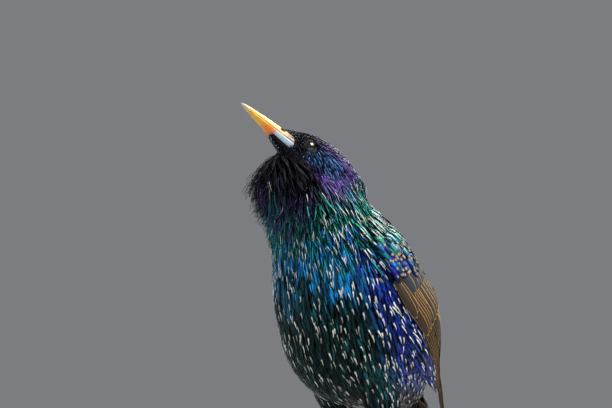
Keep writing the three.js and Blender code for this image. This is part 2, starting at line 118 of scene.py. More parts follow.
# A body swelling through stations, as in the source; the girth goes by its square
class Swelling:
    def __init__(self, stations):
        rows = np.array(stations, float)
        self.last = len(rows) - 1
        self.rows = np.hstack([rows[:, :2], rows[:, 2:] ** 2])

    def sample(self, station):
        s = np.clip(np.asarray(station, float), 0, self.last)
        i = np.minimum(s.astype(int), self.last - 1)
        w = (s - i)[..., None]
        r = self.rows
        p1, p2 = r[i], r[i + 1]
        p0 = np.where((i > 0)[..., None], r[np.maximum(i - 1, 0)], 2 * p1 - p2)
        p3 = np.where((i < self.last - 1)[..., None], r[np.minimum(i + 2, self.last)], 2 * p2 - p1)
        t0, t1 = (p2 - p0) / 2, (p3 - p1) / 2
        value = p1 + t0 * w + (-3 * p1 + 3 * p2 - 2 * t0 - t1) * w**2 + (2 * p1 - 2 * p2 + t0 + t1) * w**3
        slope = t0 + 2 * (-3 * p1 + 3 * p2 - 2 * t0 - t1) * w + 3 * (2 * p1 - 2 * p2 + t0 + t1) * w**2
        return value, slope

    def at(self, station, angle):
        v, slope = self.sample(station)
        along = unit(np.stack([slope[..., 0], 0 * slope[..., 0], slope[..., 1]], -1))
        upward = np.stack([-along[..., 2], 0 * along[..., 0], along[..., 0]], -1)
        c, s = np.cos(np.radians(angle)), np.sin(np.radians(angle))
        rise = np.sqrt(np.maximum(0, np.where(s > 0, v[..., 3], v[..., 4]))) * s
        centre = np.stack([v[..., 0], np.sqrt(np.maximum(0, v[..., 2])) * c, v[..., 1]], -1)
        return centre + upward * rise[..., None]

    def normal(self, station, angle):
        ahead = self.at(station + 0.02, angle) - self.at(station - 0.02, angle)
        around = self.at(station, angle + 1) - self.at(station, angle - 1)
        return unit(np.cross(around, ahead))

    def over(self, station, angle, lift):
        return self.at(station, angle) + self.normal(station, angle) * np.asarray(lift)[..., None]

    def grid(self, rings, sides):
        t = np.linspace(0, 1, rings + 1)
        t = t - np.sin(2 * np.pi * t) / (5 * np.pi)
        return self.at(*np.meshgrid(self.last * t, np.linspace(0, 360, sides, endpoint=False), indexing="ij"))


def linked(name, data, material=None):
    made = bpy.data.objects.new(name, data)
    bpy.context.scene.collection.objects.link(made)
    if material:
        data.materials.append(material)
    return made


def sideName(name, side):
    return name + ("Left" if side > 0 else "Right")


def finishMesh(name, vertices, faces, material=None):
    mesh = bpy.data.meshes.new(name)
    mesh.from_pydata((np.asarray(vertices) * mm).tolist(), [], faces)
    mesh.validate()
    mesh.shade_smooth()
    return linked(name, mesh, material)


# Faces of a closed skin over rings of points, its ends closed by a fan of one face
def ringFaces(rings, sides, offset=0):
    faces = []
    for i in range(rings - 1):
        for j in range(sides):
            k = (j + 1) % sides
            a, b = offset + i * sides, offset + (i + 1) * sides
            faces.append((a + j, a + k, b + k, b + j))
    faces.append(tuple(offset + j for j in reversed(range(sides))))
    faces.append(tuple(offset + (rings - 1) * sides + j for j in range(sides)))
    return faces


def outward(obj):
    bpy.context.view_layer.objects.active = obj
    for other in bpy.context.selected_objects:
        other.select_set(False)
    obj.select_set(True)
    bpy.ops.object.mode_set(mode="EDIT")
    bpy.ops.mesh.select_all(action="SELECT")
    bpy.ops.mesh.remove_doubles(threshold=1e-6)
    bpy.ops.mesh.normals_make_consistent(inside=False)
    bpy.ops.object.mode_set(mode="OBJECT")
    obj.select_set(False)
    return obj


# A round limb along points with a radius at each
def limbRings(points, radii, sides=16, squash=1.0):
    points = np.asarray(points, float)
    along = unit(np.gradient(points, axis=0))
    side = unit(np.cross(along, np.tile([0.12, 1.0, 0.05], (len(points), 1))))[:, None]
    up = np.cross(side, along[:, None])
    a = np.linspace(0, 2 * np.pi, sides, endpoint=False)[None, :, None]
    r = np.asarray(radii, float)[:, None, None]
    return points[:, None] + r * (np.cos(a) * side + squash * np.sin(a) * up)


def alongPoints(points, steps):
    points = np.asarray(points, float)
    n = len(points) - 1
    s = np.linspace(0, n, steps)
    i = np.minimum(s.astype(int), n - 1)
    w = (s - i)[:, None]
    pad = np.vstack([2 * points[0] - points[1], points, 2 * points[-1] - points[-2]])
    p0, p1, p2, p3 = pad[i], pad[i + 1], pad[i + 2], pad[i + 3]
    bend = (2 * p0 - 5 * p1 + 4 * p2 - p3) * w**2 + (3 * p1 - p0 - 3 * p2 + p3) * w**3
    return 0.5 * (2 * p1 + (p2 - p0) * w + bend)


# What is made for the left is mirrored for the right
def mirrored(points, side):
    return points * np.array([1 if side > 0 else -1, 1, 1])


trunk, wingBed, headForm = Swelling(trunkStations), Swelling(wingStations), Swelling(headStations)

# The form: trunk, head, throat and thighs in one, as wide as the solids. The coat's outside meets it.
formLook = {"voxel": 1.0, "coatDepth": 1.1, "smoothing": 5, "skinShade": 0.15}


def ellipsoidRings(centre, half, rings, sides):
    t = np.linspace(0.02, np.pi - 0.02, rings)
    a = np.linspace(0, 2 * np.pi, sides, endpoint=False)
    tt, aa = np.meshgrid(t, a, indexing="ij")
    ball = np.stack([np.sin(tt) * np.cos(aa), np.sin(tt) * np.sin(aa), np.cos(tt)], -1)
    return ball * np.array(half) + np.array(centre)


def thighRings(side):
    knee, heel = np.array(legForm["knee"], float), np.array(legForm["heel"], float)
    end = knee + (heel - knee) * 0.97
    path = alongPoints([knee, (knee + heel) / 2, end], 12)
    radii = np.interp(np.linspace(0, 3, 12), range(4), legForm["thighRadii"])
    return mirrored(limbRings(path, radii, 24), side)


def closedParts(parts, name, material=None):
    vertices, faces, count = [], [], 0
    for grid in parts:
        rings, sides = grid.shape[:2]
        vertices.append(grid.reshape(-1, 3))
        faces += ringFaces(rings, sides, count)
        count += rings * sides
    return outward(finishMesh(name, np.vstack(vertices) + shift, faces, material))


def evaluated(obj, name):
    made = bpy.data.meshes.new_from_object(obj.evaluated_get(bpy.context.evaluated_depsgraph_get()))
    made.name = name
    bpy.data.objects.remove(obj)
    return linked(name, made)


def buildForm():
    parts = [moved(trunk.grid(60, 72), bodyMatrix), moved(headForm.grid(50, 60), headMatrix)]
    parts.append(moved(ellipsoidRings(throatForm["centre"], throatForm["half"], 30, 40), headMatrix))
    parts.append(moved(Swelling(chinStations).grid(20, 24), headMatrix))
    parts += [thighRings(1), thighRings(-1)]
    raw = closedParts(parts, "formRaw")
    remesh = raw.modifiers.new("remesh", "REMESH")
    remesh.mode = "VOXEL"
    remesh.voxel_size = formLook["voxel"] * mm
    relax = raw.modifiers.new("relax", "SMOOTH")
    relax.iterations = formLook["smoothing"]
    relax.factor = 0.5
    return evaluated(raw, "form")


form = buildForm()
print("form:", len(form.data.polygons), "faces")


def arrayOf(items, key, width=1, kind=np.float32):
    values = np.empty(len(items) * width, kind)
    items.foreach_get(key, values)
    return values.reshape(-1, width)


def pointsOf(mesh):
    return arrayOf(mesh.vertices, "co", 3) / mm - shift


formPoints, formNormals = pointsOf(form.data), arrayOf(form.data.vertex_normals, "vector", 3)
form.data.calc_loop_triangles()
formTriangles = arrayOf(form.data.loop_triangles, "vertices", 3, np.int32)
formTree = BVHTree.FromPolygons(formPoints.tolist(), formTriangles.tolist())


def nearest(points):
    found, normals = np.empty_like(points), np.empty_like(points)
    for i, p in enumerate(points):
        q, n, _, _ = formTree.find_nearest(p)
        found[i], normals[i] = q, n
    return found, normals


# Scattered roots over the form, no two nearer than their spacing
def scatter(count, spacing, wanted, seed):
    random = np.random.default_rng(seed)
    corners = formPoints[formTriangles]
    centres = corners.mean(1)
    keep = np.nonzero(wanted(centres))[0]
    corners = corners[keep]
    area = np.linalg.norm(np.cross(corners[:, 1] - corners[:, 0], corners[:, 2] - corners[:, 0]), axis=1) / 2
    pick = random.choice(len(keep), count * 6, p=area / area.sum())
    a, b = random.random((2, len(pick)))
    flip = a + b > 1
    a[flip], b[flip] = 1 - a[flip], 1 - b[flip]
    c = corners[pick]
    points = c[:, 0] + a[:, None] * (c[:, 1] - c[:, 0]) + b[:, None] * (c[:, 2] - c[:, 0])
    normals = formNormals[formTriangles[keep[pick], 0]]
    cells, chosen = {}, []
    for index, p in enumerate(points):
        key = tuple((p // spacing).astype(int))
        around = ((key[0] + i, key[1] + j, key[2] + k) for i, j, k in product((-1, 0, 1), repeat=3))
        close = [points[other] - p for cell in around for other in cells.get(cell, ())]
        clear = all(d @ d >= spacing * spacing for d in close)
        if clear:
            cells.setdefault(key, []).append(index)
            chosen.append(index)
            if len(chosen) == count:
                break
    return points[chosen], normals[chosen]


spine = np.array([[0, -r[0], r[1]] for r in trunkStations], float)
headBack = turned(np.array([[-1.0, 0, 0]]), headMatrix)[0]
headDown = turned(np.array([[0, 0, -1.0]]), headMatrix)[0]


def headLocal(points):
    return (points - headMatrix[:3, 3]) @ headMatrix[:3, :3]


# Station along the trunk and angle round it, for colours and tracts
def trunkPlace(points):
    best = np.full(len(points), 1e9)
    station, angle = np.zeros(len(points)), np.zeros(len(points))
    for i in range(len(spine) - 1):
        a, b = spine[i], spine[i + 1]
        t = np.clip((points - a) @ (b - a) / ((b - a) @ (b - a)), 0, 1)
        off = points - (a + t[:, None] * (b - a))
        d = np.linalg.norm(off, axis=1)
        along = (b - a) / np.linalg.norm(b - a)
        up = np.array([0, along[2], -along[1]])
        near = d < best
        best = np.where(near, d, best)
        station = np.where(near, i + t, station)
        angle = np.where(near, np.degrees(np.arctan2(off @ up, off[:, 0])), angle)
    return station, angle


# Which way the feathers lie: back from the bill, down the neck and along the trunk
def flow(points):
    station, angle = trunkPlace(points)
    i = np.clip(station.astype(int), 0, len(spine) - 2)
    body = -unit(spine[i + 1] - spine[i])
    body = unit(body + np.array([0, 0, -0.35]))
    local = headLocal(points)
    cheek = headBack * 1.0 + headDown * (0.25 + 0.5 * smooth(-local[:, 2], -4, 10))[:, None]
    inHead = smooth(local[:, 0], -26, -10) * smooth(local[:, 2], -16, -6)
    leg = np.array([0, 0.25, -1.0])
    onThigh = smooth(-points[:, 2], -52, -44) * (np.abs(points[:, 1] - 9) < 14)
    way = body * (1 - inHead)[:, None] + cheek * inHead[:, None]
    return unit(way * (1 - onThigh)[:, None] + leg * onThigh[:, None])


def inBill(points, grow=0.0):
    local = headLocal(points)
    rows = np.array(billStations, float)
    x = local[:, 0]
    half, above, below = (np.interp(x, rows[:, 0], rows[:, k]) + grow for k in (2, 3, 4))
    dz = local[:, 2] - np.interp(x, rows[:, 0], rows[:, 1])
    depth = np.where(dz > 0, above, below)
    return (x > 6) & ((local[:, 1] / half) ** 2 + (dz / depth) ** 2 < 1)


def byEye(points, reach):
    local = headLocal(points)
    off = np.hypot(local[:, 0] - eyeForm["at"][0], local[:, 2] - eyeForm["at"][2])
    return (off < reach) & (np.abs(local[:, 1]) > 5)


def fill(tree, made, inputs):
    for key, value in inputs.items():
        if isinstance(value, bpy.types.NodeSocket):
            tree.links.new(value, made.inputs[key])
        else:
            made.inputs[key].default_value = value


def node(tree, kind, inputs=None, **settings):
    made = tree.nodes.new(kind)
    for key, value in settings.items():
        setattr(made, key, value)
    fill(tree, made, inputs or {})
    return made


def calc(tree, operation, a, b=0.5, c=0.5):
    return node(tree, "ShaderNodeMath", {0: a, 1: b, 2: c}, operation=operation).outputs[0]


def ramp(tree, value, low, high, start=0.0, end=1.0):
    given = {"Value": value, "From Min": low, "From Max": high, "To Min": start, "To Max": end}
    return node(tree, "ShaderNodeMapRange", given, interpolation_type="SMOOTHSTEP").outputs["Result"]


def blendColor(tree, factor, a, b, mode="MIX"):
    return node(tree, "ShaderNodeMix", {0: factor, 6: a, 7: b}, data_type="RGBA", blend_type=mode).outputs[2]


def darken(tree, color, level):
    grey = node(tree, "ShaderNodeCombineColor", {0: level, 1: level, 2: level}).outputs[0]
    return blendColor(tree, 1.0, color, grey, "MULTIPLY")


def bumpOf(tree, height, strength, distance):
    return node(tree, "ShaderNodeBump", {"Height": height, "Strength": strength, "Distance": distance}).outputs[0]


def sockets(tree, names, kind, way="INPUT"):
    for name in names:
        tree.interface.new_socket(name, in_out=way, socket_type="NodeSocket" + kind)


# Masks over one feather, from how far a point is across it and along it
maskLook = {"ridgeFrom": 0.15, "noiseAcross": 5.0, "noiseAlong": 1.6, "noiseScale": 1.6, "ragged": 0.16,
            "tipSoft": 0.06, "tipNarrows": 0.35, "fringeSoft": 0.06, "barbSlant": 0.35, "barbHeight": 0.35}


def buildFeatherMasks():
    look = maskLook
    tree = bpy.data.node_groups.new("featherMasks", "ShaderNodeTree")
    sockets(tree, ("Barbs", "Tip Start", "Tip Width", "Fringe Start"), "Float")
    given = tree.nodes.new("NodeGroupInput").outputs
    plume = node(tree, "ShaderNodeAttribute", attribute_name="plume")
    parts = node(tree, "ShaderNodeSeparateColor", {"Color": plume.outputs["Color"]})
    across, along, chance = (parts.outputs[i] for i in range(3))
    aside = calc(tree, "MULTIPLY", calc(tree, "ABSOLUTE", calc(tree, "SUBTRACT", across, 0.5)), 2.0)
    where = node(tree, "ShaderNodeCombineXYZ", {
        0: calc(tree, "MULTIPLY", across, look["noiseAcross"]),
        1: calc(tree, "MULTIPLY", along, look["noiseAlong"]), 2: calc(tree, "MULTIPLY", chance, 57.0)})
    noise = node(tree, "ShaderNodeTexNoise", {"Vector": where.outputs[0], "Scale": look["noiseScale"],
                                              "Detail": 3.0}).outputs["Fac"]
    fibre = ramp(tree, noise, 0.3, 0.72)
    reach = calc(tree, "ADD", along, calc(tree, "MULTIPLY_ADD", noise, look["ragged"], -look["ragged"] / 2))

    def past(value, name, soft, start=0.0, end=1.0):
        return ramp(tree, value, given[name], calc(tree, "ADD", given[name], soft), start, end)

    tip = calc(tree, "MULTIPLY", past(reach, "Tip Start", look["tipSoft"]),
               past(aside, "Tip Width", look["tipNarrows"], 1.0, 0.0))
    slant = calc(tree, "MULTIPLY_ADD", aside, look["barbSlant"], along)
    turns = calc(tree, "MULTIPLY", slant, calc(tree, "MULTIPLY", given["Barbs"], 6.283))
    masks = {
        "Ridge": ramp(tree, aside, look["ridgeFrom"], 1.0, 1.0, 0.0),
        "Tip": calc(tree, "MULTIPLY", tip, plume.outputs["Alpha"]),
        "Fringe": past(aside, "Fringe Start", look["fringeSoft"]),
        "Height": calc(tree, "MULTIPLY_ADD", calc(tree, "SINE", turns), look["barbHeight"], fibre),
        "Fibre": fibre, "Along": along,
    }
    sockets(tree, masks, "Float", "OUTPUT")
    fill(tree, tree.nodes.new("NodeGroupOutput"), masks)
    return tree


featherMasks = buildFeatherMasks()


def newMaterial(name, constants):
    material = bpy.data.materials.new(name)
    material.use_nodes = True
    tree = material.node_tree
    shader = tree.nodes["Principled BSDF"]
    fill(tree, shader, constants)
    return material, tree, shader


def tintOf(tree):
    return node(tree, "ShaderNodeAttribute", attribute_name="tint").outputs["Color"]


# Glossy body plumage: each feather is darkened towards its edges and its root as painted shade, so the tint is
# brightest on its ridge as a painted highlight, and the tip may be pale
plumageLook = {"edgeShade": 0.05, "rootShade": 0.12, "pale": (0.92, 0.90, 0.85, 1), "metallic": 0.68,
               "roughness": 0.3, "tipStart": 0.74, "tipWidth": 0.22, "barbs": 26, "bump": 0.3}
backLook = {"edgeShade": 0.8, "rootShade": 0.25, "pale": (0.66, 0.52, 0.34, 1), "metallic": 0.6, "roughness": 0.38,
            "tipStart": 0.88, "tipWidth": 0.75, "barbs": 40, "bump": 0.3}


def plumageMaterial(name, look):
    material, tree, shader = newMaterial(name, {"Specular IOR Level": 0.25})
    given = {"Barbs": look["barbs"], "Tip Start": look["tipStart"], "Tip Width": look["tipWidth"]}
    masks = node(tree, "ShaderNodeGroup", given, node_tree=featherMasks).outputs
    # painted shade: darker towards each feather's edges and root, which leaves the ridge bright as a painted
    # highlight
    light = ramp(tree, masks["Ridge"], 0.0, 1.0, look["edgeShade"], 1.0)
    root = ramp(tree, masks["Along"], 0.1, 0.6, look["rootShade"], 1.0)
    fibre = ramp(tree, masks["Fibre"], 0.0, 1.0, 0.55, 1.35)
    base = darken(tree, tintOf(tree), calc(tree, "MULTIPLY", calc(tree, "MULTIPLY", light, root), fibre))
    fill(tree, shader, {
        "Base Color": blendColor(tree, masks["Tip"], base, look["pale"]),
        "Metallic": ramp(tree, masks["Tip"], 0.0, 0.6, look["metallic"], 0.0),
        "Roughness": ramp(tree, masks["Tip"], 0.0, 1.0, look["roughness"], 0.65),
        "Normal": bumpOf(tree, masks["Height"], look["bump"], 0.0003)})
    return material


coatMaterial = plumageMaterial("coatPlumage", plumageLook)
backMaterial = plumageMaterial("backPlumage", backLook)

# Flight feathers: dark centre, buff fringe, fine barbs
vaneLook = {"fringe": (0.62, 0.36, 0.12, 1), "fringeStart": 0.88, "metallic": 0.1, "roughness": 0.5,
            "barbs": 90, "bump": 0.25}


def vaneMaterial(name, look):
    material, tree, shader = newMaterial(name, {"Specular IOR Level": 0.3, "Roughness": look["roughness"]})
    given = {"Barbs": look["barbs"], "Fringe Start": look["fringeStart"]}
    masks = node(tree, "ShaderNodeGroup", given, node_tree=featherMasks).outputs
    base = darken(tree, tintOf(tree), ramp(tree, masks["Fibre"], 0.0, 1.0, 0.72, 1.2))
    amount = node(tree, "ShaderNodeAttribute", attribute_name="plume").outputs["Alpha"]
    edge = calc(tree, "MAXIMUM", masks["Fringe"], ramp(tree, masks["Along"], 0.972, 0.99))
    edge = calc(tree, "MULTIPLY", edge, amount)
    fill(tree, shader, {
        "Base Color": blendColor(tree, edge, base, look["fringe"]),
        "Metallic": ramp(tree, edge, 0.0, 1.0, look["metallic"], 0.0),
        "Normal": bumpOf(tree, masks["Height"], look["bump"], 0.0002)})
    return material


wingMaterial = vaneMaterial("flightFeathers", vaneLook)


def colorAttribute(obj, name, values):
    attribute = obj.data.color_attributes.new(name, "FLOAT_COLOR", "POINT")
    data = np.ones((len(obj.data.vertices), 4), np.float32)
    values = np.asarray(values, np.float32)
    data[:, : values.shape[1]] = values
    attribute.data.foreach_set("color", data.ravel())


# Many feathers in one mesh: rings has one row of cross-sections for each feather
def feathersMesh(name, rings, across, along, chance, spot, tint, bakeAt, material, patch=(0.003, 0.003)):
    count, rows, sides = rings.shape[:3]
    template = ringFaces(rows, sides)
    sample = rings[0].reshape(-1, 3)
    mid = sample.mean(0)
    volume = sum(np.dot(sample[f[0]] - mid, np.cross(sample[f[i]] - mid, sample[f[i + 1]] - mid))
                 for f in template for i in range(1, len(f) - 1))
    if volume < 0:
        template = [tuple(reversed(f)) for f in template]
    lengths = np.array([len(f) for f in template])
    flat = np.concatenate([np.array(f) for f in template])
    block = rows * sides
    corner = (flat[None] + (np.arange(count) * block)[:, None]).ravel()
    starts = np.concatenate([[0], np.cumsum(np.tile(lengths, count))[:-1]])
    mesh = bpy.data.meshes.new(name)
    mesh.vertices.add(count * block)
    mesh.vertices.foreach_set("co", ((rings.reshape(-1, 3) + shift) * mm).astype(np.float32).ravel())
    mesh.loops.add(len(corner))
    mesh.loops.foreach_set("vertex_index", corner.astype(np.int32))
    mesh.polygons.add(count * len(template))
    mesh.polygons.foreach_set("loop_start", starts.astype(np.int32))
    mesh.update(calc_edges=True)
    mesh.validate()
    mesh.shade_smooth()
    made = linked(name, mesh, material)
    wide, far = (np.broadcast_to(v, (count, rows, sides)).reshape(-1) for v in (across, along))
    plume = np.stack([wide, far, np.repeat(chance, block), np.repeat(spot, block)], -1)
    colorAttribute(made, "plume", plume)
    colorAttribute(made, "tint", np.repeat(tint, block, axis=0))
    uv = mesh.uv_layers.new(name="OFBake")
    place = np.repeat(bakeAt, block, axis=0) + np.array(patch) * np.stack([wide, far], -1)
    uv.data.foreach_set("uv", place[corner].astype(np.float32).ravel())
    return made


def bakePlace(points):
    station, angle = trunkPlace(points)
    u = (angle / 360) % 1
    v = np.clip((points[:, 2] - 10) / 175, 0, 1)
    return np.stack([0.002 + u * 0.99, 0.002 + v * 0.99], -1)


# One tract of the coat, in millimetres: each feather walks over the form from its root, its lifts stand it off
coatLook = {"eyeClear": 2.9, "tipStands": 0.45, "thick": 0.06}


def walkTract(roots, normals, look, random):
    n, rows = len(roots), len(look["lifts"])
    none = np.zeros(n)
    length = look["length"](roots) * (1 + look.get("vary", 0.2) * (random.random(n) * 2 - 1))
    swing = random.normal(0, look["swing"], n)
    stand = 1 + look.get("unruly", 0.3) * (random.random(n) * 2 - 1)
    extra = look["bristle"](roots) * (0.55 + 0.9 * random.random(n)) if "bristle" in look else none
    loose = (look["loose"](roots) if "loose" in look else none)[:, None]
    path, face = np.empty((n, rows, 3)), np.empty((n, rows, 3))
    p, facing = roots.copy(), normals.copy()
    for k in range(rows):
        t = k / (rows - 1)
        lift = look["lifts"][k] * (stand if k > 1 else 1) + extra * t**1.6
        path[:, k], face[:, k] = p + facing * lift[:, None], facing
        if k == rows - 1:
            break
        way = flow(p)
        if "way" in look:
            way = look["way"](p, way)
        way = unit(way - facing * (np.sum(way * facing, -1)[:, None] * (1 - loose)))
        way = unit(way + np.cross(facing, way) * (swing * (0.5 + t))[:, None])
        onward = p + way * (length / (rows - 1))[:, None]
        p, found = nearest(onward)
        p = p + (onward - p) * loose
        facing = unit(facing * 0.35 + found * 0.65 * (1 - loose))
    return path, face


def dress(name, path, face, roots, look, random):
    n, rows = path.shape[:2]
    chance = random.random(n)
    width = look["width"](roots) * (1 + 0.25 * (random.random(n) * 2 - 1))
    drop = byEye(path[:, 2:].reshape(-1, 3), coatLook["eyeClear"]).reshape(n, rows - 2).any(1)
    drop |= inBill(path[:, 1:3].reshape(-1, 3), 0.05).reshape(n, 2).any(1)
    path, face, chance, width, roots = (v[~drop] for v in (path, face, chance, width, roots))
    tint, spot = look["color"](roots, path[:, -1], random)
    t = (np.arange(rows) / (rows - 1))[None, :, None]
    path = path + face * coatLook["tipStands"] * spot[:, None, None] * smooth(t, 0.3, 1.0)
    along = unit(np.gradient(path, axis=1))
    side = unit(np.cross(along, face))
    up = np.cross(side, along)
    width = width[:, None, None]
    half = np.array(look["profile"])[None, :, None] * width / 2
    top, bottom = path + up * (look.get("keel", 0.1) * width), path - up * coatLook["thick"]
    rings = np.stack([path - side * half, top, path + side * half, bottom], 2)
    across = np.array([0, 0.5, 1, 0.5])[None, None]
    return feathersMesh(name, rings, across, t, chance, spot, tint, bakePlace(roots),
                        look.get("material", coatMaterial))


palette = {
    "black": (0.007, 0.008, 0.012), "crown": (0.050, 0.038, 0.095), "ear": (0.030, 0.11, 0.26),
    "violet": (0.14, 0.050, 0.32), "steel": (0.11, 0.11, 0.27), "green": (0.014, 0.23, 0.15),
    "teal": (0.010, 0.17, 0.20), "azure": (0.010, 0.28, 0.74), "royal": (0.016, 0.032, 0.40),
    "bellyShade": (0.003, 0.020, 0.020), "mantle": (0.02, 0.17, 0.26), "vent": (0.020, 0.019, 0.022),
}
palette = {k: np.array(v) for k, v in palette.items()}


def mixTo(color, other, amount):
    return color * (1 - amount[:, None]) + other * amount[:, None]


def band(x, low, high, soft):
    return smooth(x, low - soft, low + soft) * smooth(-x, -high - soft, -high + soft)


# How far round from the middle of the breast, in degrees
def fromBreast(angle):
    return np.abs((angle + 270) % 360 - 180)


# Colour and strength of the pale tip of each body feather, by where it is rooted. The belly and the throat are
# darkened as painted shade, and the bright blue of the breast band is partly painted sheen.
def bodyColor(roots, tips, random):
    station, angle = trunkPlace(roots)
    x, y, z = headLocal(roots).T
    offBreast = fromBreast(angle)
    n = len(roots)
    noise, other = random.random(n), random.random(n)
    patch = np.sin(angle * 0.06 + 1) * np.sin(station * 2.1 + angle * 0.021)
    high = tips[:, 2] + 20 * (noise - 0.5) + 6 * patch - 2 * smooth(-offBreast, -40, -5)
    # the bright blue band across the breast is the feathers' blue gloss, brightened as painted sheen where the
    # light falls on the breast
    azure = band(high, 89, 112, 8) * smooth(-offBreast, -112, -88)
    # painted shade over the lower breast and belly: near-black teal, with the pale tips there dimmed
    dark = smooth(-high, -99, -80) * smooth(-offBreast - 12 * patch, -74, -30)
    royal = smooth(-high, -112, -100) * smooth(offBreast, 40, 66)
    green = band(high - 5 * smooth(offBreast, 20, 80), 105, 145, 5)
    back = smooth(offBreast, 112, 135) * smooth(-station, -8.0, -7.0)
    upper = smooth(high + 20 * smooth(-offBreast, -62, -25), 138, 147)
    inHead = smooth(x, -25, -15) * smooth(z, -15, -8)
    ear = inHead * smooth(x, -19, -9) * smooth(-np.abs(z + 1.5), -6, -2.5)
    face = np.clip(smooth(x, -0.5, 3) + smooth(x, -10, -3) * smooth(-z, 4, 8), 0, 1) * smooth(z, -21, -13)
    throat = smooth(x, -15, -9) * smooth(-z, 7, 12)
    vent = smooth(-station, -3.0, -2.0) * smooth(-roots[:, 2], -62, -52)
    layers = [
        ("azure", azure * (0.5 + 0.5 * smooth(other, 0.15, 0.6))),
        ("royal", royal * (0.72 + 0.28 * smooth(other, 0.2, 0.6))),
        ("bellyShade", dark * (0.97 - 0.42 * (other > 0.86))),
        ("green", green * (0.62 + 0.38 * noise)), ("azure", green * smooth(other, 0.88, 0.97) * 0.6),
        ("mantle", back * 0.85), ("violet", back * smooth(noise, 0.3, 1.0) * 0.7),
        ("violet", upper * (0.7 + 0.3 * noise)), ("steel", upper * smooth(other, 0.6, 0.9) * 0.8),
        ("violet", inHead * 0.85), ("ear", ear * 0.9), ("crown", inHead * smooth(z, 1, 5) * 0.85),
        ("black", face * 0.96),
        # the throat's near-black is painted shade under the head, with a few paler strands
        ("black", throat * smooth(roots[:, 2], 139, 151) * (0.96 - 0.5 * (noise > 0.85))),
        ("vent", vent * 0.9),
    ]
    color = np.tile(palette["teal"], (n, 1))
    for name, amount in layers:
        color = mixTo(color, palette[name], amount)
    color = color * (0.22 + 1.45 * random.random((n, 1)) ** 1.6)
    chosen = random.random(n)
    spotted = np.where(high > 118, 0.3 - 0.1 * smooth(offBreast, 60, 100), 0.22)
    spotted = spotted * (1 - np.clip(inHead + throat, 0, 1) * 0.93)
    for where, share in ((dark, 0.16), (royal, 0.2), (back, 0.62)):
        spotted = np.where(where > 0.5, share, spotted)
    spot = (chosen < spotted) * (0.7 + 0.3 * random.random(n))
    return color, spot * (1 - 0.5 * dark * (other < 0.7))


# Roots are wanted on the form outside the wings, the bill's inside and the eyes
def underWing(points):
    station, angle = trunkPlace(points)
    aside = np.where(np.abs(angle) > 90, np.sign(angle) * 180 - angle, angle)
    low = np.interp(station, [2.4, 4, 5.5, 7.6], [22, 12, 2, -3])
    return (station > 2.4) & (station < 7.6) & (aside > low) & (aside < 56)


def bare(centres):
    return inBill(centres, -0.9) | byEye(centres, 2.3)


def headWanted(centres):
    local = headLocal(centres)
    return ~bare(centres) & (local[:, 0] > -24) & (local[:, 2] > -11) & (centres[:, 2] > 138)


def throatWanted(centres):
    local = headLocal(centres)
    return ~bare(centres) & (local[:, 2] <= -8) & (local[:, 0] > -17) & (centres[:, 2] > 132)


def neckWanted(centres):
    station, angle = trunkPlace(centres)
    local = headLocal(centres)
    inHead = (local[:, 0] > -21) & (local[:, 2] > -9)
    return (station > 6.2) & ~inHead & ~bare(centres)


def bodyWanted(centres):
    station, angle = trunkPlace(centres)
    thigh = (centres[:, 2] < 50) & (np.abs(centres[:, 0]) > 5) & (np.abs(centres[:, 1] - 9) < 14)
    return (station <= 6.35) & ~underWing(centres) & ~thigh & ((angle < 60) | (angle > 120))


def backWanted(centres):
    station, angle = trunkPlace(centres)
    return (station <= 7.2) & (angle > 40) & (angle < 140)


def thighWanted(centres):
    x, y, z = centres.T
    return (z > 30) & (z < 56) & (np.abs(x) > 4) & (np.abs(y - 9) < 15)


def steady(value):
    return lambda roots: np.full(len(roots), float(value))


def byLocalX(places, values):
    return lambda roots: np.interp(headLocal(roots)[:, 0], places, values)


# The throat's feathers stand away like a beard, more towards its front
def beard(roots):
    x, _, z = headLocal(roots).T
    return smooth(x, -12, 4) * 6.5 * smooth(-z, 10, 18)


def ruff(roots):
    station, angle = trunkPlace(roots)
    return 4.5 * smooth(roots[:, 2], 124, 142) * smooth(-fromBreast(angle), -95, -30)


def fallingWay(p, way):
    return unit(way * 0.5 + np.array([0, 0.1, -1.0]))


# Under and over the tail's root the coverts reach out along the tail
tailForm = {"forward": -37, "height": 53.5, "slope": 37, "length": 62, "half": 4.8, "spread": 1.7, "side": 1.3,
            "pairDrop": 0.55, "handLift": 0.28}
tailSlope = math.radians(tailForm["slope"])
tailBack = np.array([0, math.cos(tailSlope), -math.sin(tailSlope)])
tailUp = np.array([0, math.sin(tailSlope), math.cos(tailSlope)])
tailBase = np.array([0, -tailForm["forward"], tailForm["height"]])


def ventWanted(centres):
    station, angle = trunkPlace(centres)
    return (station < 1.9) & (centres[:, 2] > 36)


def ventWay(p, way):
    over = np.sum((p - tailBase) * tailUp, -1)
    reach = np.sum((p - tailBase) * tailBack, -1)
    reach, over = np.maximum(26, reach + 6)[:, None], np.where(over > 0, 1.9, -4.2)[:, None]
    goal = tailBase + tailBack * reach + tailUp * over
    goal = goal + np.array([1.0, 0, 0]) * (np.clip(p[:, 0:1], -11, 11) * 0.62)
    return unit(unit(goal - p) + way * 0.25)


def ventLoose(roots):
    station, angle = trunkPlace(roots)
    return smooth(-station, -1.5, -0.7) * 0.97


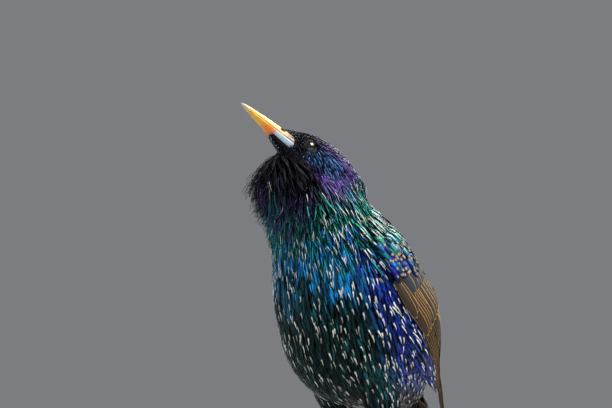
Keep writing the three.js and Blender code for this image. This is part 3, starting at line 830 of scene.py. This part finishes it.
lance = [0.35, 0.85, 1.0, 0.9, 0.6, 0.12]
blunt = [0.4, 0.9, 1.0, 0.98, 0.75, 0.2]
rounded = [0.5, 0.95, 1.05, 1.05, 0.95, 0.5]
headLength = byLocalX([-24, -14, -4, 4, 12], [8.5, 7, 4.6, 3.0, 2.2])
headWidth = byLocalX([-24, -10, 2, 12], [1.35, 1.15, 0.85, 0.65])
tract = {
    "coatHead": dict(count=3600, spacing=0.75, wanted=headWanted, length=headLength, width=headWidth, swing=0.16,
                     profile=lance, lifts=[-1.0, -0.2, 0.1, 0.2, 0.25, 0.25]),
    "coatThroat": dict(count=1800, spacing=0.75, wanted=throatWanted, length=steady(13), width=steady(0.95),
                       swing=0.2, profile=[0.6, 1, 0.9, 0.65, 0.4, 0.06], lifts=[-1.0, 0.1, 0.4, 0.7, 0.9, 1.0],
                       bristle=beard, way=fallingWay, unruly=0.8, vary=0.4),
    "coatNeck": dict(count=3200, spacing=1.05, wanted=neckWanted, length=steady(14), width=steady(1.55),
                     swing=0.13, profile=[0.5, 1, 0.95, 0.8, 0.55, 0.1],
                     lifts=[-1.0, 0.0, 0.35, 0.55, 0.7, 0.75], unruly=0.7, bristle=ruff),
    "coatBody": dict(count=4200, spacing=1.35, wanted=bodyWanted, length=steady(13), width=steady(2.3),
                     swing=0.09, profile=blunt, lifts=[-1.0, -0.1, 0.2, 0.35, 0.4, 0.4]),
    "coatBack": dict(count=1100, spacing=2.1, wanted=backWanted, length=steady(12), width=steady(5.6),
                     swing=0.08, profile=rounded, lifts=[-1.0, -0.1, 0.3, 0.45, 0.5, 0.4], keel=0.03,
                     material=backMaterial),
    "coatThigh": dict(count=900, spacing=1.05, wanted=thighWanted, length=steady(8), width=steady(1.6),
                      swing=0.12, profile=lance, lifts=[-1.0, -0.2, 0.1, 0.2, 0.2, 0.2]),
    "coatVent": dict(count=520, spacing=1.8, wanted=ventWanted, length=steady(24), width=steady(4.2),
                     swing=0.05, profile=blunt, lifts=[-1.0, -0.1, 0.3, 0.4, 0.4, 0.3], way=ventWay,
                     loose=ventLoose, keel=0.03, vary=0.3),
}
coat = []
for seed, (name, look) in enumerate(tract.items(), 21):
    look["color"] = bodyColor
    roots, normals = scatter(look["count"], look["spacing"], look["wanted"], seed)
    random = np.random.default_rng(seed * 7)
    piece = dress(name, *walkTract(roots, normals, look, random), roots, look, random)
    coat.append(piece)
    print(name, len(roots), "feathers", len(piece.data.polygons), "faces")


# The skin lies under the coat by its depth, in the coat's colours darkened as painted shade between the feathers
def buildSkin():
    material, tree, shader = newMaterial("shadeUnderCoat", {"Roughness": 0.75})
    fill(tree, shader, {"Base Color": tintOf(tree)})
    skin = linked("skin", form.data.copy())
    skin.data.materials.clear()
    skin.data.materials.append(material)
    points = formPoints - formNormals * formLook["coatDepth"]
    skin.data.vertices.foreach_set("co", ((points + shift) * mm).astype(np.float32).ravel())
    color, _ = bodyColor(formPoints, formPoints, np.random.default_rng(5))
    # darkened as painted shade where it shows between the feathers
    colorAttribute(skin, "tint", color * formLook["skinShade"])
    skin.data.shade_smooth()
    return skin


skin = buildSkin()
bpy.data.objects.remove(form)
print("skin and coat done")

# Wing tiers as in the source, with more feathers. Roots and tips are stations and angles on the wing's bed.
wingLook = {"rows": 15, "thick": 0.15, "roll": -0.5, "patch": (0.09, 0.1),
            "section": [(-1, 0), (-0.5, 0.5), (-0.09, 0.6), (0, 1.3), (0.09, 0.6), (0.5, 0.5), (1, 0),
                        (0.5, -0.5), (-0.5, -0.5)]}
wingAcross = (np.array([place[0] for place in wingLook["section"]]) + 1)[None, None] / 2
covertTint = (0.040, 0.024, 0.011)
wingTiers = [
    dict(name="primary", count=9, root=((5.5, -1), (5.5, 15)), tip=((0.2, 40), (2.3, 44)), half=4.6, lift=0.1,
         step=0.13, tint=(0.034, 0.020, 0.009), edge=0.9),
    dict(name="secondary", count=7, root=((5.4, 14), (5.3, 38)), tip=((2.5, 38), (2.8, 56)), half=5.2, lift=1.3,
         step=0.12, tint=(0.036, 0.022, 0.011), edge=1.0),
    dict(name="tertial", count=3, root=((5.2, 43), (5.3, 58)), tip=((2.9, 54), (3.7, 70)), half=5.8, lift=2.1,
         step=0.25, tint=(0.036, 0.028, 0.020), edge=1.0),
    dict(name="primaryCovert", count=5, root=((6.6, -8), (6.6, -1)), tip=((4.9, -3), (5.05, 7)), half=2.4,
         lift=1.2, step=0.12, tint=covertTint, edge=0.9),
    dict(name="alula", count=2, root=((6.6, -9), (6.6, -7)), tip=((5.5, -7), (5.6, -4)), half=2.2, lift=1.5,
         step=0.15, tint=covertTint, edge=0.9),
    dict(name="greaterCovert", count=10, root=((6.5, 2), (6.5, 54)), tip=((5.0, 6), (5.2, 58)), half=3.2,
         lift=1.75, step=0.06, tint=(0.042, 0.029, 0.018), edge=1.0),
    dict(name="medianCovert", count=10, root=((7.1, -3), (7.1, 54)), tip=((6.05, 1), (6.2, 56)), half=2.7,
         lift=2.15, step=0.05, tint=(0.024, 0.034, 0.046), edge=1.0),
]


# Points over the wing's bed, and the way they face
def onWing(station, angle, lift):
    return (moved(wingBed.over(station, angle, lift), bodyMatrix),
            turned(wingBed.normal(station, angle), bodyMatrix))


def vaneProfile(t, pointed):
    body = np.minimum(1, 0.55 + 1.3 * t)
    tip = np.sqrt(np.clip(1 - ((t - (1 - pointed)) / pointed).clip(0) ** 2, 0.004, 1))
    return body * tip


def sectionRings(path, face, half, thick, roll):
    along = unit(np.gradient(path, axis=1))
    side = unit(np.cross(along, face))
    up = np.cross(side, along)
    xs, zs = np.array(wingLook["section"]).T[:, None, None, :, None]
    rel = np.clip(half / half.max(), 0.15, 1)[:, :, None, None]
    return path[:, :, None] + side[:, :, None] * xs * half[:, :, None, None] + up[:, :, None] * (
        zs * thick + xs * roll * rel)


def buildWing(side):
    allRings, tints, edges = [], [], []
    t = 1 - (1 - np.linspace(0, 1, wingLook["rows"])) ** 1.5
    for tier in wingTiers:
        for i in range(tier["count"]):
            s = i / max(1, tier["count"] - 1)
            ends = (np.array(tier[k], float) for k in ("root", "tip"))
            (root, rootAngle), (tip, tipAngle) = (first + (last - first) * s for first, last in ends)
            station = root + (tip - root) * t
            angle = rootAngle + (tipAngle - rootAngle) * t * t * (3 - 2 * t)
            lift = tier["lift"] + tier["step"] * i - 0.5 * (1 - t) ** 2
            path, face = onWing(station, angle, lift)
            pointed = 0.16 if tier["name"] == "primary" else 0.3
            half = (tier["half"] * vaneProfile(t, pointed) * np.where(station < 2, 0.86, 1))
            allRings.append(sectionRings(path[None], face[None], half[None], wingLook["thick"], wingLook["roll"]))
            tints.append(np.array(tier["tint"]) * (0.85 + 0.3 * ((i * 7) % 5) / 4))
            edges.append(tier["edge"])
    rings = mirrored(np.concatenate(allRings), side)
    n = np.arange(len(rings))
    lane = np.stack([(n % 10) / 10, (n // 10) / 9], -1)
    return feathersMesh(sideName("wingVanes", side), rings, wingAcross, t[None, :, None], (n * 0.381) % 1,
                        np.array(edges), np.array(tints), lane, wingMaterial, wingLook["patch"])


# A closed dark piece in the shade colour: painted shade in the gaps between feathers
def shadePad(name, grid, color):
    made = closedParts([grid], name, bpy.data.materials["shadeUnderCoat"])
    colorAttribute(made, "tint", np.tile(color, (len(made.data.vertices), 1)))
    return made


# A closed pad under the vanes, dark as painted shade, so that nothing shows through between them
padLook = {"front": 7.65, "rear": 3.1, "lowAt": (3.1, 4, 5.5, 7.65), "low": (22, 14, -1, -7), "high": 60,
           "rise": 0.9, "depth": 4, "color": (0.02, 0.03, 0.035)}


def buildWingPad(side):
    u, v = np.meshgrid(np.linspace(0, 1, 13), np.linspace(0, 1, 25), indexing="ij")
    station = padLook["front"] + (padLook["rear"] - padLook["front"]) * v
    low = np.interp(station, padLook["lowAt"], padLook["low"])
    angle = low + (padLook["high"] - low) * u
    edge = np.minimum(1, 4.5 * np.minimum(np.minimum(u, 1 - u), np.minimum(2 * v, 2 * (1 - v))) + 0.1)
    lifts = (padLook["rise"] * edge - padLook["rise"], 0 * edge - padLook["depth"])
    top, under = (onWing(station, angle, lift)[0] for lift in lifts)
    grid = mirrored(np.concatenate([top, under[:, ::-1]], 1), side)
    return shadePad(sideName("wingUnder", side), grid, padLook["color"])


# Small feathers laid over the wing: lesser coverts, scapulars, and those that cover its front and lower edges
shoulderRows = {
    "lesser": dict(rise=0.6, station=(7.95, 7.3), angle=(-10, 52), rows=6, across=24, run=0.72, turn=2, half=3.1,
                   lifts=(-0.8, 2.7), pale=0.6),
    "scapular": dict(rise=0.8, station=(8.6, 5.3), angle=(56, 84), rows=13, across=9, run=1.2, turn=-4, half=5.0,
                     lifts=(-2.4, 3.3), pale=0.75),
    "front": dict(rise=0.95, station=(9.0, 7.9), angle=(-22, 60), rows=6, across=26, run=1.05, turn=2, half=1.9,
                  lifts=(-2.4, 1.9), pale=0.4),
    "flank": dict(rise=0.8, station=(7.9, 3.4), angle=(-30, -17), rows=26, across=5, run=0.95, turn=5, half=2.1,
                  lifts=(-2.8, -0.2), pale=0.22),
}


def buildShoulder(side, kindsHere, name, material):
    random = np.random.default_rng(77)
    rowsMade = []
    t = np.linspace(0, 1, 6)
    for kind in kindsHere:
        row = shoulderRows[kind]
        s, a = np.meshgrid(np.linspace(*row["station"], row["rows"]), np.linspace(*row["angle"], row["across"]),
                           indexing="ij")
        gap = (row["angle"][1] - row["angle"][0]) / (row["across"] - 1)
        a = a + gap * 0.5 * (np.arange(row["rows"]) % 2)[:, None]
        s, a = s.ravel(), a.ravel()
        n = len(s)
        s = s + random.normal(0, 0.05, n)
        a = a + random.normal(0, 0.9, n)
        if kind == "flank":
            a = a + np.interp(s, [3.6, 5.5, 7.9], [17, 5, 0])
        station = s[:, None] - row["run"] * (1 + 0.15 * random.normal(size=(n, 1))) * t
        angle = a[:, None] + (row["turn"] + random.normal(0, 1.5, (n, 1))) * t
        low, high = row["lifts"]
        if kind == "scapular":
            high = np.interp(a, [56, 84], [high, 0.9])[:, None]
        lift = low + (high - low) * smooth(t, 0, row["rise"])[None] + 0.15 * random.random((n, 1))
        rowsMade.append((*onWing(station, angle, lift), np.full(n, row["half"]), np.full(n, row["pale"])))
    path, face, width, pale = (np.concatenate(v) for v in zip(*rowsMade))
    overWing = "lesser" in kindsHere

    def shade(at, tips, draw):
        color, _ = bodyColor(at, tips, draw)
        spot = (draw.random(len(at)) < pale) * (0.6 + 0.4 * draw.random(len(at)))
        return color * (0.75 if overWing else 1), spot

    path, face = mirrored(path, side), mirrored(face, side)
    look = dict(width=lambda at: width, profile=rounded if overWing else blunt, keel=0.03, color=shade,
                material=material)
    return dress(sideName(name, side), path, face, path[:, 0], look, random)


wings = {side: (buildWing(side), buildWingPad(side)) for side in (1, -1)}
shoulders = {side: (buildShoulder(side, ("front", "flank"), "flank", coatMaterial),
                    buildShoulder(side, ("lesser", "scapular"), "shoulder", backMaterial)) for side in (1, -1)}
print("wings:", len(wings[1][0].data.polygons), "faces each")

# Tail: twelve feathers stacked to the middle pair, over a closed dark block of painted shade that holds their
# roots
tailLook = {"tint": (0.030, 0.025, 0.021), "rows": 15, "thick": 0.28, "edge": 0.65, "patch": (0.078, 0.96)}
# the root block's dark colour is painted shade between the coverts and the tail
tailRootForm = {"back": (6, 13), "up": (-1.6, 3.6), "half": 9.5, "color": (0.02, 0.03, 0.03)}


def buildTail():
    t = 1 - (1 - np.linspace(0, 1, tailLook["rows"])) ** 1.5
    half = (tailForm["half"] * vaneProfile(t, 0.12))[None]
    rings = []
    for pair in range(5, -1, -1):
        for hand in (1, -1):
            turn = math.radians(hand * tailForm["spread"] * (pair + 0.3))
            away = tailBack * math.cos(turn) + np.array([math.sin(turn), 0, 0])
            level = (tailForm["handLift"] if hand > 0 else 0) - tailForm["pairDrop"] * pair
            reach = tailForm["length"] * (0.95 + 0.01 * pair) * t
            start = tailBase + np.array([hand * tailForm["side"] * (pair + 0.5), 0, 0])
            path = (start + away * reach[:, None] + tailUp * level)[None]
            rings.append(sectionRings(path, np.tile(tailUp, (1, len(t), 1)), half, tailLook["thick"], 0))
    rings = np.concatenate(rings)
    n = np.arange(len(rings))
    tint = np.array(tailLook["tint"]) * (0.85 + 0.3 * (n % 3) / 2)[:, None]
    made = feathersMesh("tailVanes", rings, wingAcross, t[None, :, None], (n * 0.41) % 1,
                        np.full(len(n), tailLook["edge"]), tint, np.stack([n / 12, 0 * n], -1), wingMaterial,
                        tailLook["patch"])
    x, y, z = (ellipsoidRings((0, 0, 0), (1, 1, 1), 14, 20)[..., k : k + 1] for k in range(3))
    (back, backHalf), (up, upHalf) = tailRootForm["back"], tailRootForm["up"]
    block = tailBase + tailBack * (back + backHalf * y) + tailUp * (up + upHalf * z) + np.array(
        [tailRootForm["half"], 0, 0]) * x
    return made, shadePad("tailRoot", block, tailRootForm["color"])


tail, tailRoot = buildTail()
print("tail done")

# Bill: two halves parted along the mouth, coloured from the pale blue base to the yellow tip
billLook = {"base": (0.44, 0.56, 0.66), "upperBase": (0.20, 0.12, 0.05), "middle": (0.80, 0.40, 0.04),
            "tip": (0.50, 0.46, 0.32), "lower": (0.80, 0.20, 0.008), "gold": (0.86, 0.44, 0.03), "gap": 0.1}


def grain(tree, scale):
    where = node(tree, "ShaderNodeTexCoord").outputs["Object"]
    return node(tree, "ShaderNodeTexNoise", {"Vector": where, "Scale": scale, "Detail": 4.0}).outputs["Fac"]


def hornMaterial():
    material, tree, shader = newMaterial("horn", {"Roughness": 0.4, "Coat Weight": 0.15})
    noise = grain(tree, 420.0)
    fill(tree, shader, {"Base Color": darken(tree, tintOf(tree), ramp(tree, noise, 0.3, 0.7, 0.88, 1.08)),
                        "Normal": bumpOf(tree, noise, 0.05, 0.0002)})
    return material


horn = hornMaterial()


def buildBill(upper):
    bill = Swelling(billStations)
    t = np.linspace(0, 1, 56)
    station = 0.3 + (bill.last - 0.001 - 0.3) * (1 - (1 - t) ** 1.4)
    s, aa = np.meshgrid(station, np.linspace(*((0, 180) if upper else (-180, 0)), 25), indexing="ij")
    grid = bill.at(s, aa)
    # a ridge along the culmen and a firmer cutting edge
    grid[..., 1] *= 1 - 0.12 * np.abs(np.sin(np.radians(aa))) ** 3
    grid[..., 2] += (1 if upper else -1) * billLook["gap"] * smooth(-grid[..., 0], -37, -30)
    if not upper:
        # the two rami part at the base, and the hollow between them holds the chin
        hollow = smooth(-np.abs(aa + 90), -52, -36) * smooth(-grid[..., 0], -19.5, -15)
        grid[..., 2] += hollow * (-2.3 - grid[..., 2])
    x, _, z = grid.reshape(-1, 3).T
    made = finishMesh("billUpper" if upper else "billLower", moved(grid, headMatrix).reshape(-1, 3) + shift,
                      ringFaces(*grid.shape[:2]), horn)
    along = np.clip((x - 7) / 30.6, 0, 1)
    edge = 0.1 if upper else 0.27
    layers = [("middle" if upper else "lower", smooth(along, edge, edge + 0.13)),
              ("gold", smooth(along, 0.42, 0.62)),
              ("tip", 0.7 * smooth(z, -0.6, 1.2) * smooth(along, 0.3, 0.6)), ("tip", smooth(along, 0.72, 0.98))]
    color = np.tile(billLook["upperBase" if upper else "base"], (len(x), 1))
    for name, amount in layers:
        color = mixTo(color, np.array(billLook[name]), amount)
    colorAttribute(made, "tint", color)
    return outward(made)


billUpper, billLower = buildBill(True), buildBill(False)


# The nostrils are near-black ellipsoids: painted shade of their openings
nostrilLook = {"at": (14.6, 3.72, 0.35), "half": (1.5, 0.35, 0.42), "color": (0.03, 0.02, 0.015, 1)}


def buildNostrils():
    x, y, z = nostrilLook["at"]
    balls = (ellipsoidRings((x, side * y, z), nostrilLook["half"], 10, 16) for side in (1, -1))
    material, _, _ = newMaterial("nostrilShade", {"Roughness": 0.7, "Base Color": nostrilLook["color"]})
    return closedParts([moved(ball, headMatrix) for ball in balls], "nostrils", material)


nostrils = buildNostrils()
print("bill done")

# Eyes: a dark brown globe, and a ring of beads of skin with a skirt that covers the globe's outer part
eyeLook = {"lidLateral": 9.6, "lidRadius": 2.72, "lidThick": 0.27, "skirtWide": 0.7, "skirtDrop": 1.1,
           "pupil": (0.004, 0.003, 0.003), "iris": (0.012, 0.006, 0.004), "outer": (0.004, 0.002, 0.002)}
eyeMaterial, eyeTree, eyeShader = newMaterial("eyeGloss", {"Roughness": 0.04, "Coat Weight": 1.0,
                                                           "Coat Roughness": 0.02})
fill(eyeTree, eyeShader, {"Base Color": tintOf(eyeTree)})
lidMaterial, _, _ = newMaterial("lidSkin", {"Roughness": 0.7, "Base Color": (0.009, 0.009, 0.013, 1),
                                            "Specular IOR Level": 0.25})


def buildEye(side):
    centre = np.array(eyeForm["at"]) * (1, side, 1)
    ball = ellipsoidRings((0, 0, 0), (1, 1, 1), 40, 48)[..., [0, 2, 1]] * eyeForm["radius"]
    made = closedParts([moved(ball + centre, headMatrix)], sideName("eye", side), eyeMaterial)
    x, _, z = (headLocal(pointsOf(made.data)) - centre).T
    off = np.hypot(x, z)
    color = np.tile(eyeLook["pupil"], (len(off), 1))
    color = mixTo(color, np.array(eyeLook["iris"]), smooth(off, 1.15, 1.35))
    colorAttribute(made, "tint", mixTo(color, np.array(eyeLook["outer"]), smooth(off, 1.9, 2.4)))
    return made


def buildLid(side, around=60, sides=12):
    a, b = (np.linspace(0, 2 * np.pi, count, endpoint=False) for count in (around, sides))
    aa, bb = np.meshgrid(a, b, indexing="ij")
    r = eyeLook["lidThick"] * (1 + 0.12 * np.abs(np.sin(aa * 15)))
    skirt = np.maximum(np.cos(bb), 0)
    ring = eyeLook["lidRadius"] + r * np.cos(bb) + eyeLook["skirtWide"] * skirt
    out = eyeLook["lidLateral"] + r * np.sin(bb) - eyeLook["skirtDrop"] * skirt
    local = np.stack([eyeForm["at"][0] + ring * np.cos(aa) * 1.04, side * out,
                      eyeForm["at"][2] + ring * np.sin(aa) * 0.96], -1)
    faces = [(i * sides + j, k * sides + j, k * sides + m, i * sides + m)
             for i, k in ((i, (i + 1) % around) for i in range(around))
             for j, m in ((j, (j + 1) % sides) for j in range(sides))]
    points = moved(local, headMatrix).reshape(-1, 3) + shift
    return outward(finishMesh(sideName("lid", side), points, faces, lidMaterial))


eyes = {side: buildEye(side) for side in (1, -1)}
lids = {side: buildLid(side) for side in (1, -1)}
print("eyes done")

# Legs: shank and foot with scutes in front, and claws
toeForm = {
    "inner": (24, 15.5, 1.35, 5.5), "middle": (-4, 21.5, 1.45, 6.5), "outer": (-31, 16, 1.3, 5.5),
    "hind": (176, 12, 1.5, 8),
}
legLook = {"ballHeight": 2.3, "ballRadius": 2.1, "heelBall": (2.3, 2.5, 2.5), "shin": (3.4, 2.9, 2.3, 2.2),
           "shank": (2.2, 1.75, 1.5, 1.4, 1.4, 1.6), "toe": (1.15, 1.05, 0.86, 1.05, 0.8, 0.95, 0.5),
           "claw": (0.85, 0.68, 0.42, 0.08), "clawHeights": (1.25, 1.85, 1.2, 0.12), "clawSquash": 0.8}
knee, heel, ankle = (np.array(legForm[k], float) for k in ("knee", "heel", "ankle"))


def toeArch(length, radius):
    return np.array([0, 0.25, 0.6, 1]) * length, [2.2, radius - 0.08, radius - 0.18, 0.95 * (radius - 0.18)]


def toeLine(turn, reach, height):
    a = math.radians(turn)
    line = ankle * (1, 1, 0) + np.array([math.sin(a), -math.cos(a), 0]) * reach[:, None]
    line[:, 2] = height
    return line


def sweep(points, radii, steps, sides=18, squash=1.0):
    n = len(points) - 1
    r = np.interp(np.linspace(0, n, steps), np.linspace(0, n, len(radii)), radii)
    return limbRings(alongPoints(points, steps), r, sides, squash)


skinMaterial, skinTree, skinShader = newMaterial("legSkin", {"Roughness": 0.45, "Subsurface Weight": 0.05})
skinNoise = grain(skinTree, 260.0)
fill(skinTree, skinShader, {
    "Base Color": blendColor(skinTree, skinNoise, (0.20, 0.075, 0.045, 1), (0.34, 0.15, 0.10, 1)),
    "Normal": bumpOf(skinTree, skinNoise, 0.2, 0.0003)})
clawMaterial, _, _ = newMaterial("clawHorn", {"Roughness": 0.3, "Base Color": (0.035, 0.022, 0.018, 1)})


def buildLeg(side):
    shinTop, shinMiddle = (knee + (heel - knee) * s for s in (0.45, 0.75))
    parts = [sweep([shinTop, shinMiddle, heel], legLook["shin"], 16, 20),
             ellipsoidRings(heel, legLook["heelBall"], 14, 18),
             sweep([heel, (heel + ankle) / 2, ankle], legLook["shank"], 40, 20),
             ellipsoidRings((*ankle[:2], legLook["ballHeight"]), (legLook["ballRadius"],) * 3, 14, 18)]
    claws = []
    for turn, length, radius, claw in toeForm.values():
        parts.append(sweep(toeLine(turn, *toeArch(length, radius)), [v * radius for v in legLook["toe"]], 44))
        reach = length - 0.7 + np.array([0, 0.4, 0.78, 1]) * claw
        claws.append(sweep(toeLine(turn, reach, legLook["clawHeights"]), legLook["claw"], 20, 14,
                           legLook["clawSquash"]))
    parts, claws = ([mirrored(p, side) for p in group] for group in (parts, claws))
    return (closedParts(parts, sideName("leg", side), skinMaterial),
            closedParts(claws, sideName("claws", side), clawMaterial))


# Rows of scutes along paths: each is a short cone a little wider at its lower edge
def buildScuteTree():
    tree = bpy.data.node_groups.new("scuteRows", "GeometryNodeTree")
    sockets(tree, ("Geometry",), "Geometry")
    sockets(tree, ("Spacing", "Overlap", "Flare"), "Float")
    sockets(tree, ("Material",), "Material")
    sockets(tree, ("Geometry",), "Geometry", "OUTPUT")
    given = tree.nodes.new("NodeGroupInput").outputs
    curve = node(tree, "GeometryNodeMeshToCurve", {"Mesh": given["Geometry"]})
    rows = node(tree, "GeometryNodeResampleCurve", {"Curve": curve.outputs[0], "Length": given["Spacing"]},
                mode="LENGTH")
    cone = node(tree, "GeometryNodeMeshCone", {
        "Vertices": 18, "Radius Bottom": 0.98, "Radius Top": calc(tree, "ADD", given["Flare"], 1.0),
        "Depth": 1.0}, fill_type="NGON")
    girth = node(tree, "GeometryNodeInputNamedAttribute", {"Name": "girth"}, data_type="FLOAT").outputs[0]
    long = calc(tree, "MULTIPLY", given["Spacing"], given["Overlap"])
    size = node(tree, "ShaderNodeCombineXYZ", {"X": girth, "Y": girth, "Z": long})
    along = node(tree, "GeometryNodeInputTangent")
    turn = node(tree, "FunctionNodeAlignEulerToVector", {"Vector": along.outputs[0]}, axis="Z")
    placed = node(tree, "GeometryNodeInstanceOnPoints", {
        "Points": rows.outputs[0], "Instance": cone.outputs["Mesh"], "Rotation": turn.outputs[0],
        "Scale": size.outputs[0]})
    real = node(tree, "GeometryNodeRealizeInstances", {"Geometry": placed.outputs[0]})
    dressed = node(tree, "GeometryNodeSetMaterial", {"Geometry": real.outputs[0], "Material": given["Material"]})
    fill(tree, tree.nodes.new("NodeGroupOutput"), {"Geometry": dressed.outputs[0]})
    return tree


scuteTree = buildScuteTree()
scuteLook = {"spacing": 2.1, "overlap": 1.02, "flare": 0.07, "forward": 0.3, "raise": 0.3,
             "thickAt": (0, 0.1, 0.3, 0.6, 0.8, 0.95, 1), "thick": (1.1, 1.0, 0.86, 0.95, 0.84, 0.9, 0.6)}


def scutePaths():
    t = np.linspace(0.08, 0.93, 30)[:, None]
    shank = heel + (ankle - heel) * t + np.array([0, -scuteLook["forward"], 0.1])
    paths = [(shank, np.interp(t[:, 0] * 5, range(6), legLook["shank"]))]
    for turn, length, radius, _ in toeForm.values():
        reach = np.linspace(0.16, 0.93, 24) * length
        height = np.interp(reach, *toeArch(length, radius)) + scuteLook["raise"] * radius
        thick = np.interp(reach / length, scuteLook["thickAt"], scuteLook["thick"])
        paths.append((toeLine(turn, reach, height), thick * radius * 0.9))
    return paths


def buildScutes(side):
    points, edges, girths = [], [], []
    for line, girth in scutePaths():
        edges += [(len(points) + i, len(points) + i + 1) for i in range(len(line) - 1)]
        points += (mirrored(line, side) + shift).tolist()
        girths += girth.tolist()
    mesh = bpy.data.meshes.new("scutePaths")
    mesh.from_pydata((np.array(points) * mm).tolist(), edges, [])
    attribute = mesh.attributes.new("girth", "FLOAT", "POINT")
    attribute.data.foreach_set("value", np.array(girths, np.float32) * mm)
    paths = linked("scutePaths", mesh)
    modifier = paths.modifiers.new("scutes", "NODES")
    modifier.node_group = scuteTree
    given = {"Spacing": scuteLook["spacing"] * mm, "Overlap": scuteLook["overlap"], "Flare": scuteLook["flare"],
             "Material": skinMaterial}
    for item in scuteTree.interface.items_tree:
        if item.in_out == "INPUT" and item.name in given:
            modifier[item.identifier] = given[item.name]
    return evaluated(paths, sideName("scutes", side))


legs = {side: buildLeg(side) for side in (1, -1)}
scutes = {side: buildScutes(side) for side in (1, -1)}
print("legs done")

# Each piece rides on the one body, and stands for its nodes
handed = {1: "left", -1: "right"}
told = [
    (skin, "body_feathers", ["head", "neck", "torso", "thigh_left", "thigh_right"]),
    (billUpper, "bill", ["bill_upper"]), (billLower, "bill", ["bill_lower"]), (nostrils, "bill_base", []),
    (tail, "tail_feathers", ["tail"]), (tailRoot, "tail_feathers", []),
]
coatSlots = {"coatHead": "head_feathers", "coatThroat": "head_feathers", "coatNeck": "neck_feathers"}
told += [(piece, coatSlots.get(piece.name, "body_feathers"), []) for piece in coat]
for side, word in handed.items():
    told += [
        (wings[side][0], "wing_feathers", [f"wing_{word}"]), (wings[side][1], "wing_feathers", []),
        (shoulders[side][0], "body_feathers", []), (shoulders[side][1], "body_feathers", []),
        (eyes[side], "eye", [f"eye_{word}"]), (lids[side], "leg_skin", []),
        (legs[side][0], "leg_skin", [f"shank_{word}", f"foot_{word}"]),
        (scutes[side], "leg_skin", []),
        (legs[side][1], "claw", [f"claw_{toe}_{word}" for toe in toeForm]),
    ]
for piece, kind, standsFor in told:
    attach(piece, "root")
    if standsFor:
        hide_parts(*standsFor)

# Floor, light and the photo's camera. The light and floor are in metres, the camera's place in millimetres.
stageLook = {"azimuth": 42, "distance": 650, "height": 14, "pitch": 10.477, "lens": 84.12, "side": 3 / 2.2,
             "floorHalf": 6.0, "floor": (0.42, 0.42, 0.41, 1), "sky": (0.40, 0.41, 0.43, 1), "skyStrength": 0.5}
lampLook = {
    "key": dict(at=(0.75, 0.10, 0.95), aim=(0, 0, 0.11), size=0.6, power=21, color=(1.0, 0.98, 0.95)),
    "fill": dict(at=(-0.5, -0.9, 0.45), aim=(0, 0, 0.11), size=0.9, power=7, color=(0.92, 0.96, 1.0)),
    "rim": dict(at=(-0.2, 0.9, 0.9), aim=(0, 0, 0.12), size=0.5, power=10, color=(1, 1, 1)),
}


def buildStage():
    floorMaterial, _, _ = newMaterial("paleFloor", {"Roughness": 0.85, "Base Color": stageLook["floor"]})
    e = stageLook["floorHalf"]
    mesh = bpy.data.meshes.new("floor")
    mesh.from_pydata([(-e, -e, 0), (e, -e, 0), (e, e, 0), (-e, e, 0)], [], [(0, 1, 2, 3)])
    linked("floor", mesh, floorMaterial)
    world = bpy.data.worlds.new("studio")
    bpy.context.scene.world = world
    world.use_nodes = True
    fill(world.node_tree, world.node_tree.nodes["Background"],
         {"Color": stageLook["sky"], "Strength": stageLook["skyStrength"]})


def placeLamp(name, look):
    data = bpy.data.lights.new(name, "AREA")
    data.shape, data.size, data.energy, data.color = "SQUARE", look["size"], look["power"], look["color"]
    lamp = linked(name, data)
    lamp.location = look["at"]
    lamp.rotation_euler = (Vector(look["aim"]) - Vector(look["at"])).to_track_quat("-Z", "Y").to_euler()


def placeCamera():
    a = math.radians(stageLook["azimuth"])
    ahead, right = np.array([math.sin(a), -math.cos(a), 0]), np.array([math.cos(a), math.sin(a), 0])
    spot = (eyeMade + shift) * (1, 1, 0) + ahead * stageLook["distance"] - right * stageLook["side"]
    spot[2] = stageLook["height"]
    data = bpy.data.cameras.new("photo")
    data.lens, data.sensor_width, data.clip_start, data.clip_end = stageLook["lens"], 36, 0.01, 50
    camera = linked("photo", data)
    camera.location = spot * mm
    camera.rotation_euler = (math.radians(90 + stageLook["pitch"]), 0, a)
    bpy.context.scene.camera = camera


buildStage()
for lampName, lampSet in lampLook.items():
    placeLamp(lampName, lampSet)
placeCamera()
bpy.context.scene.view_settings.view_transform = "Standard"
print("stage done")
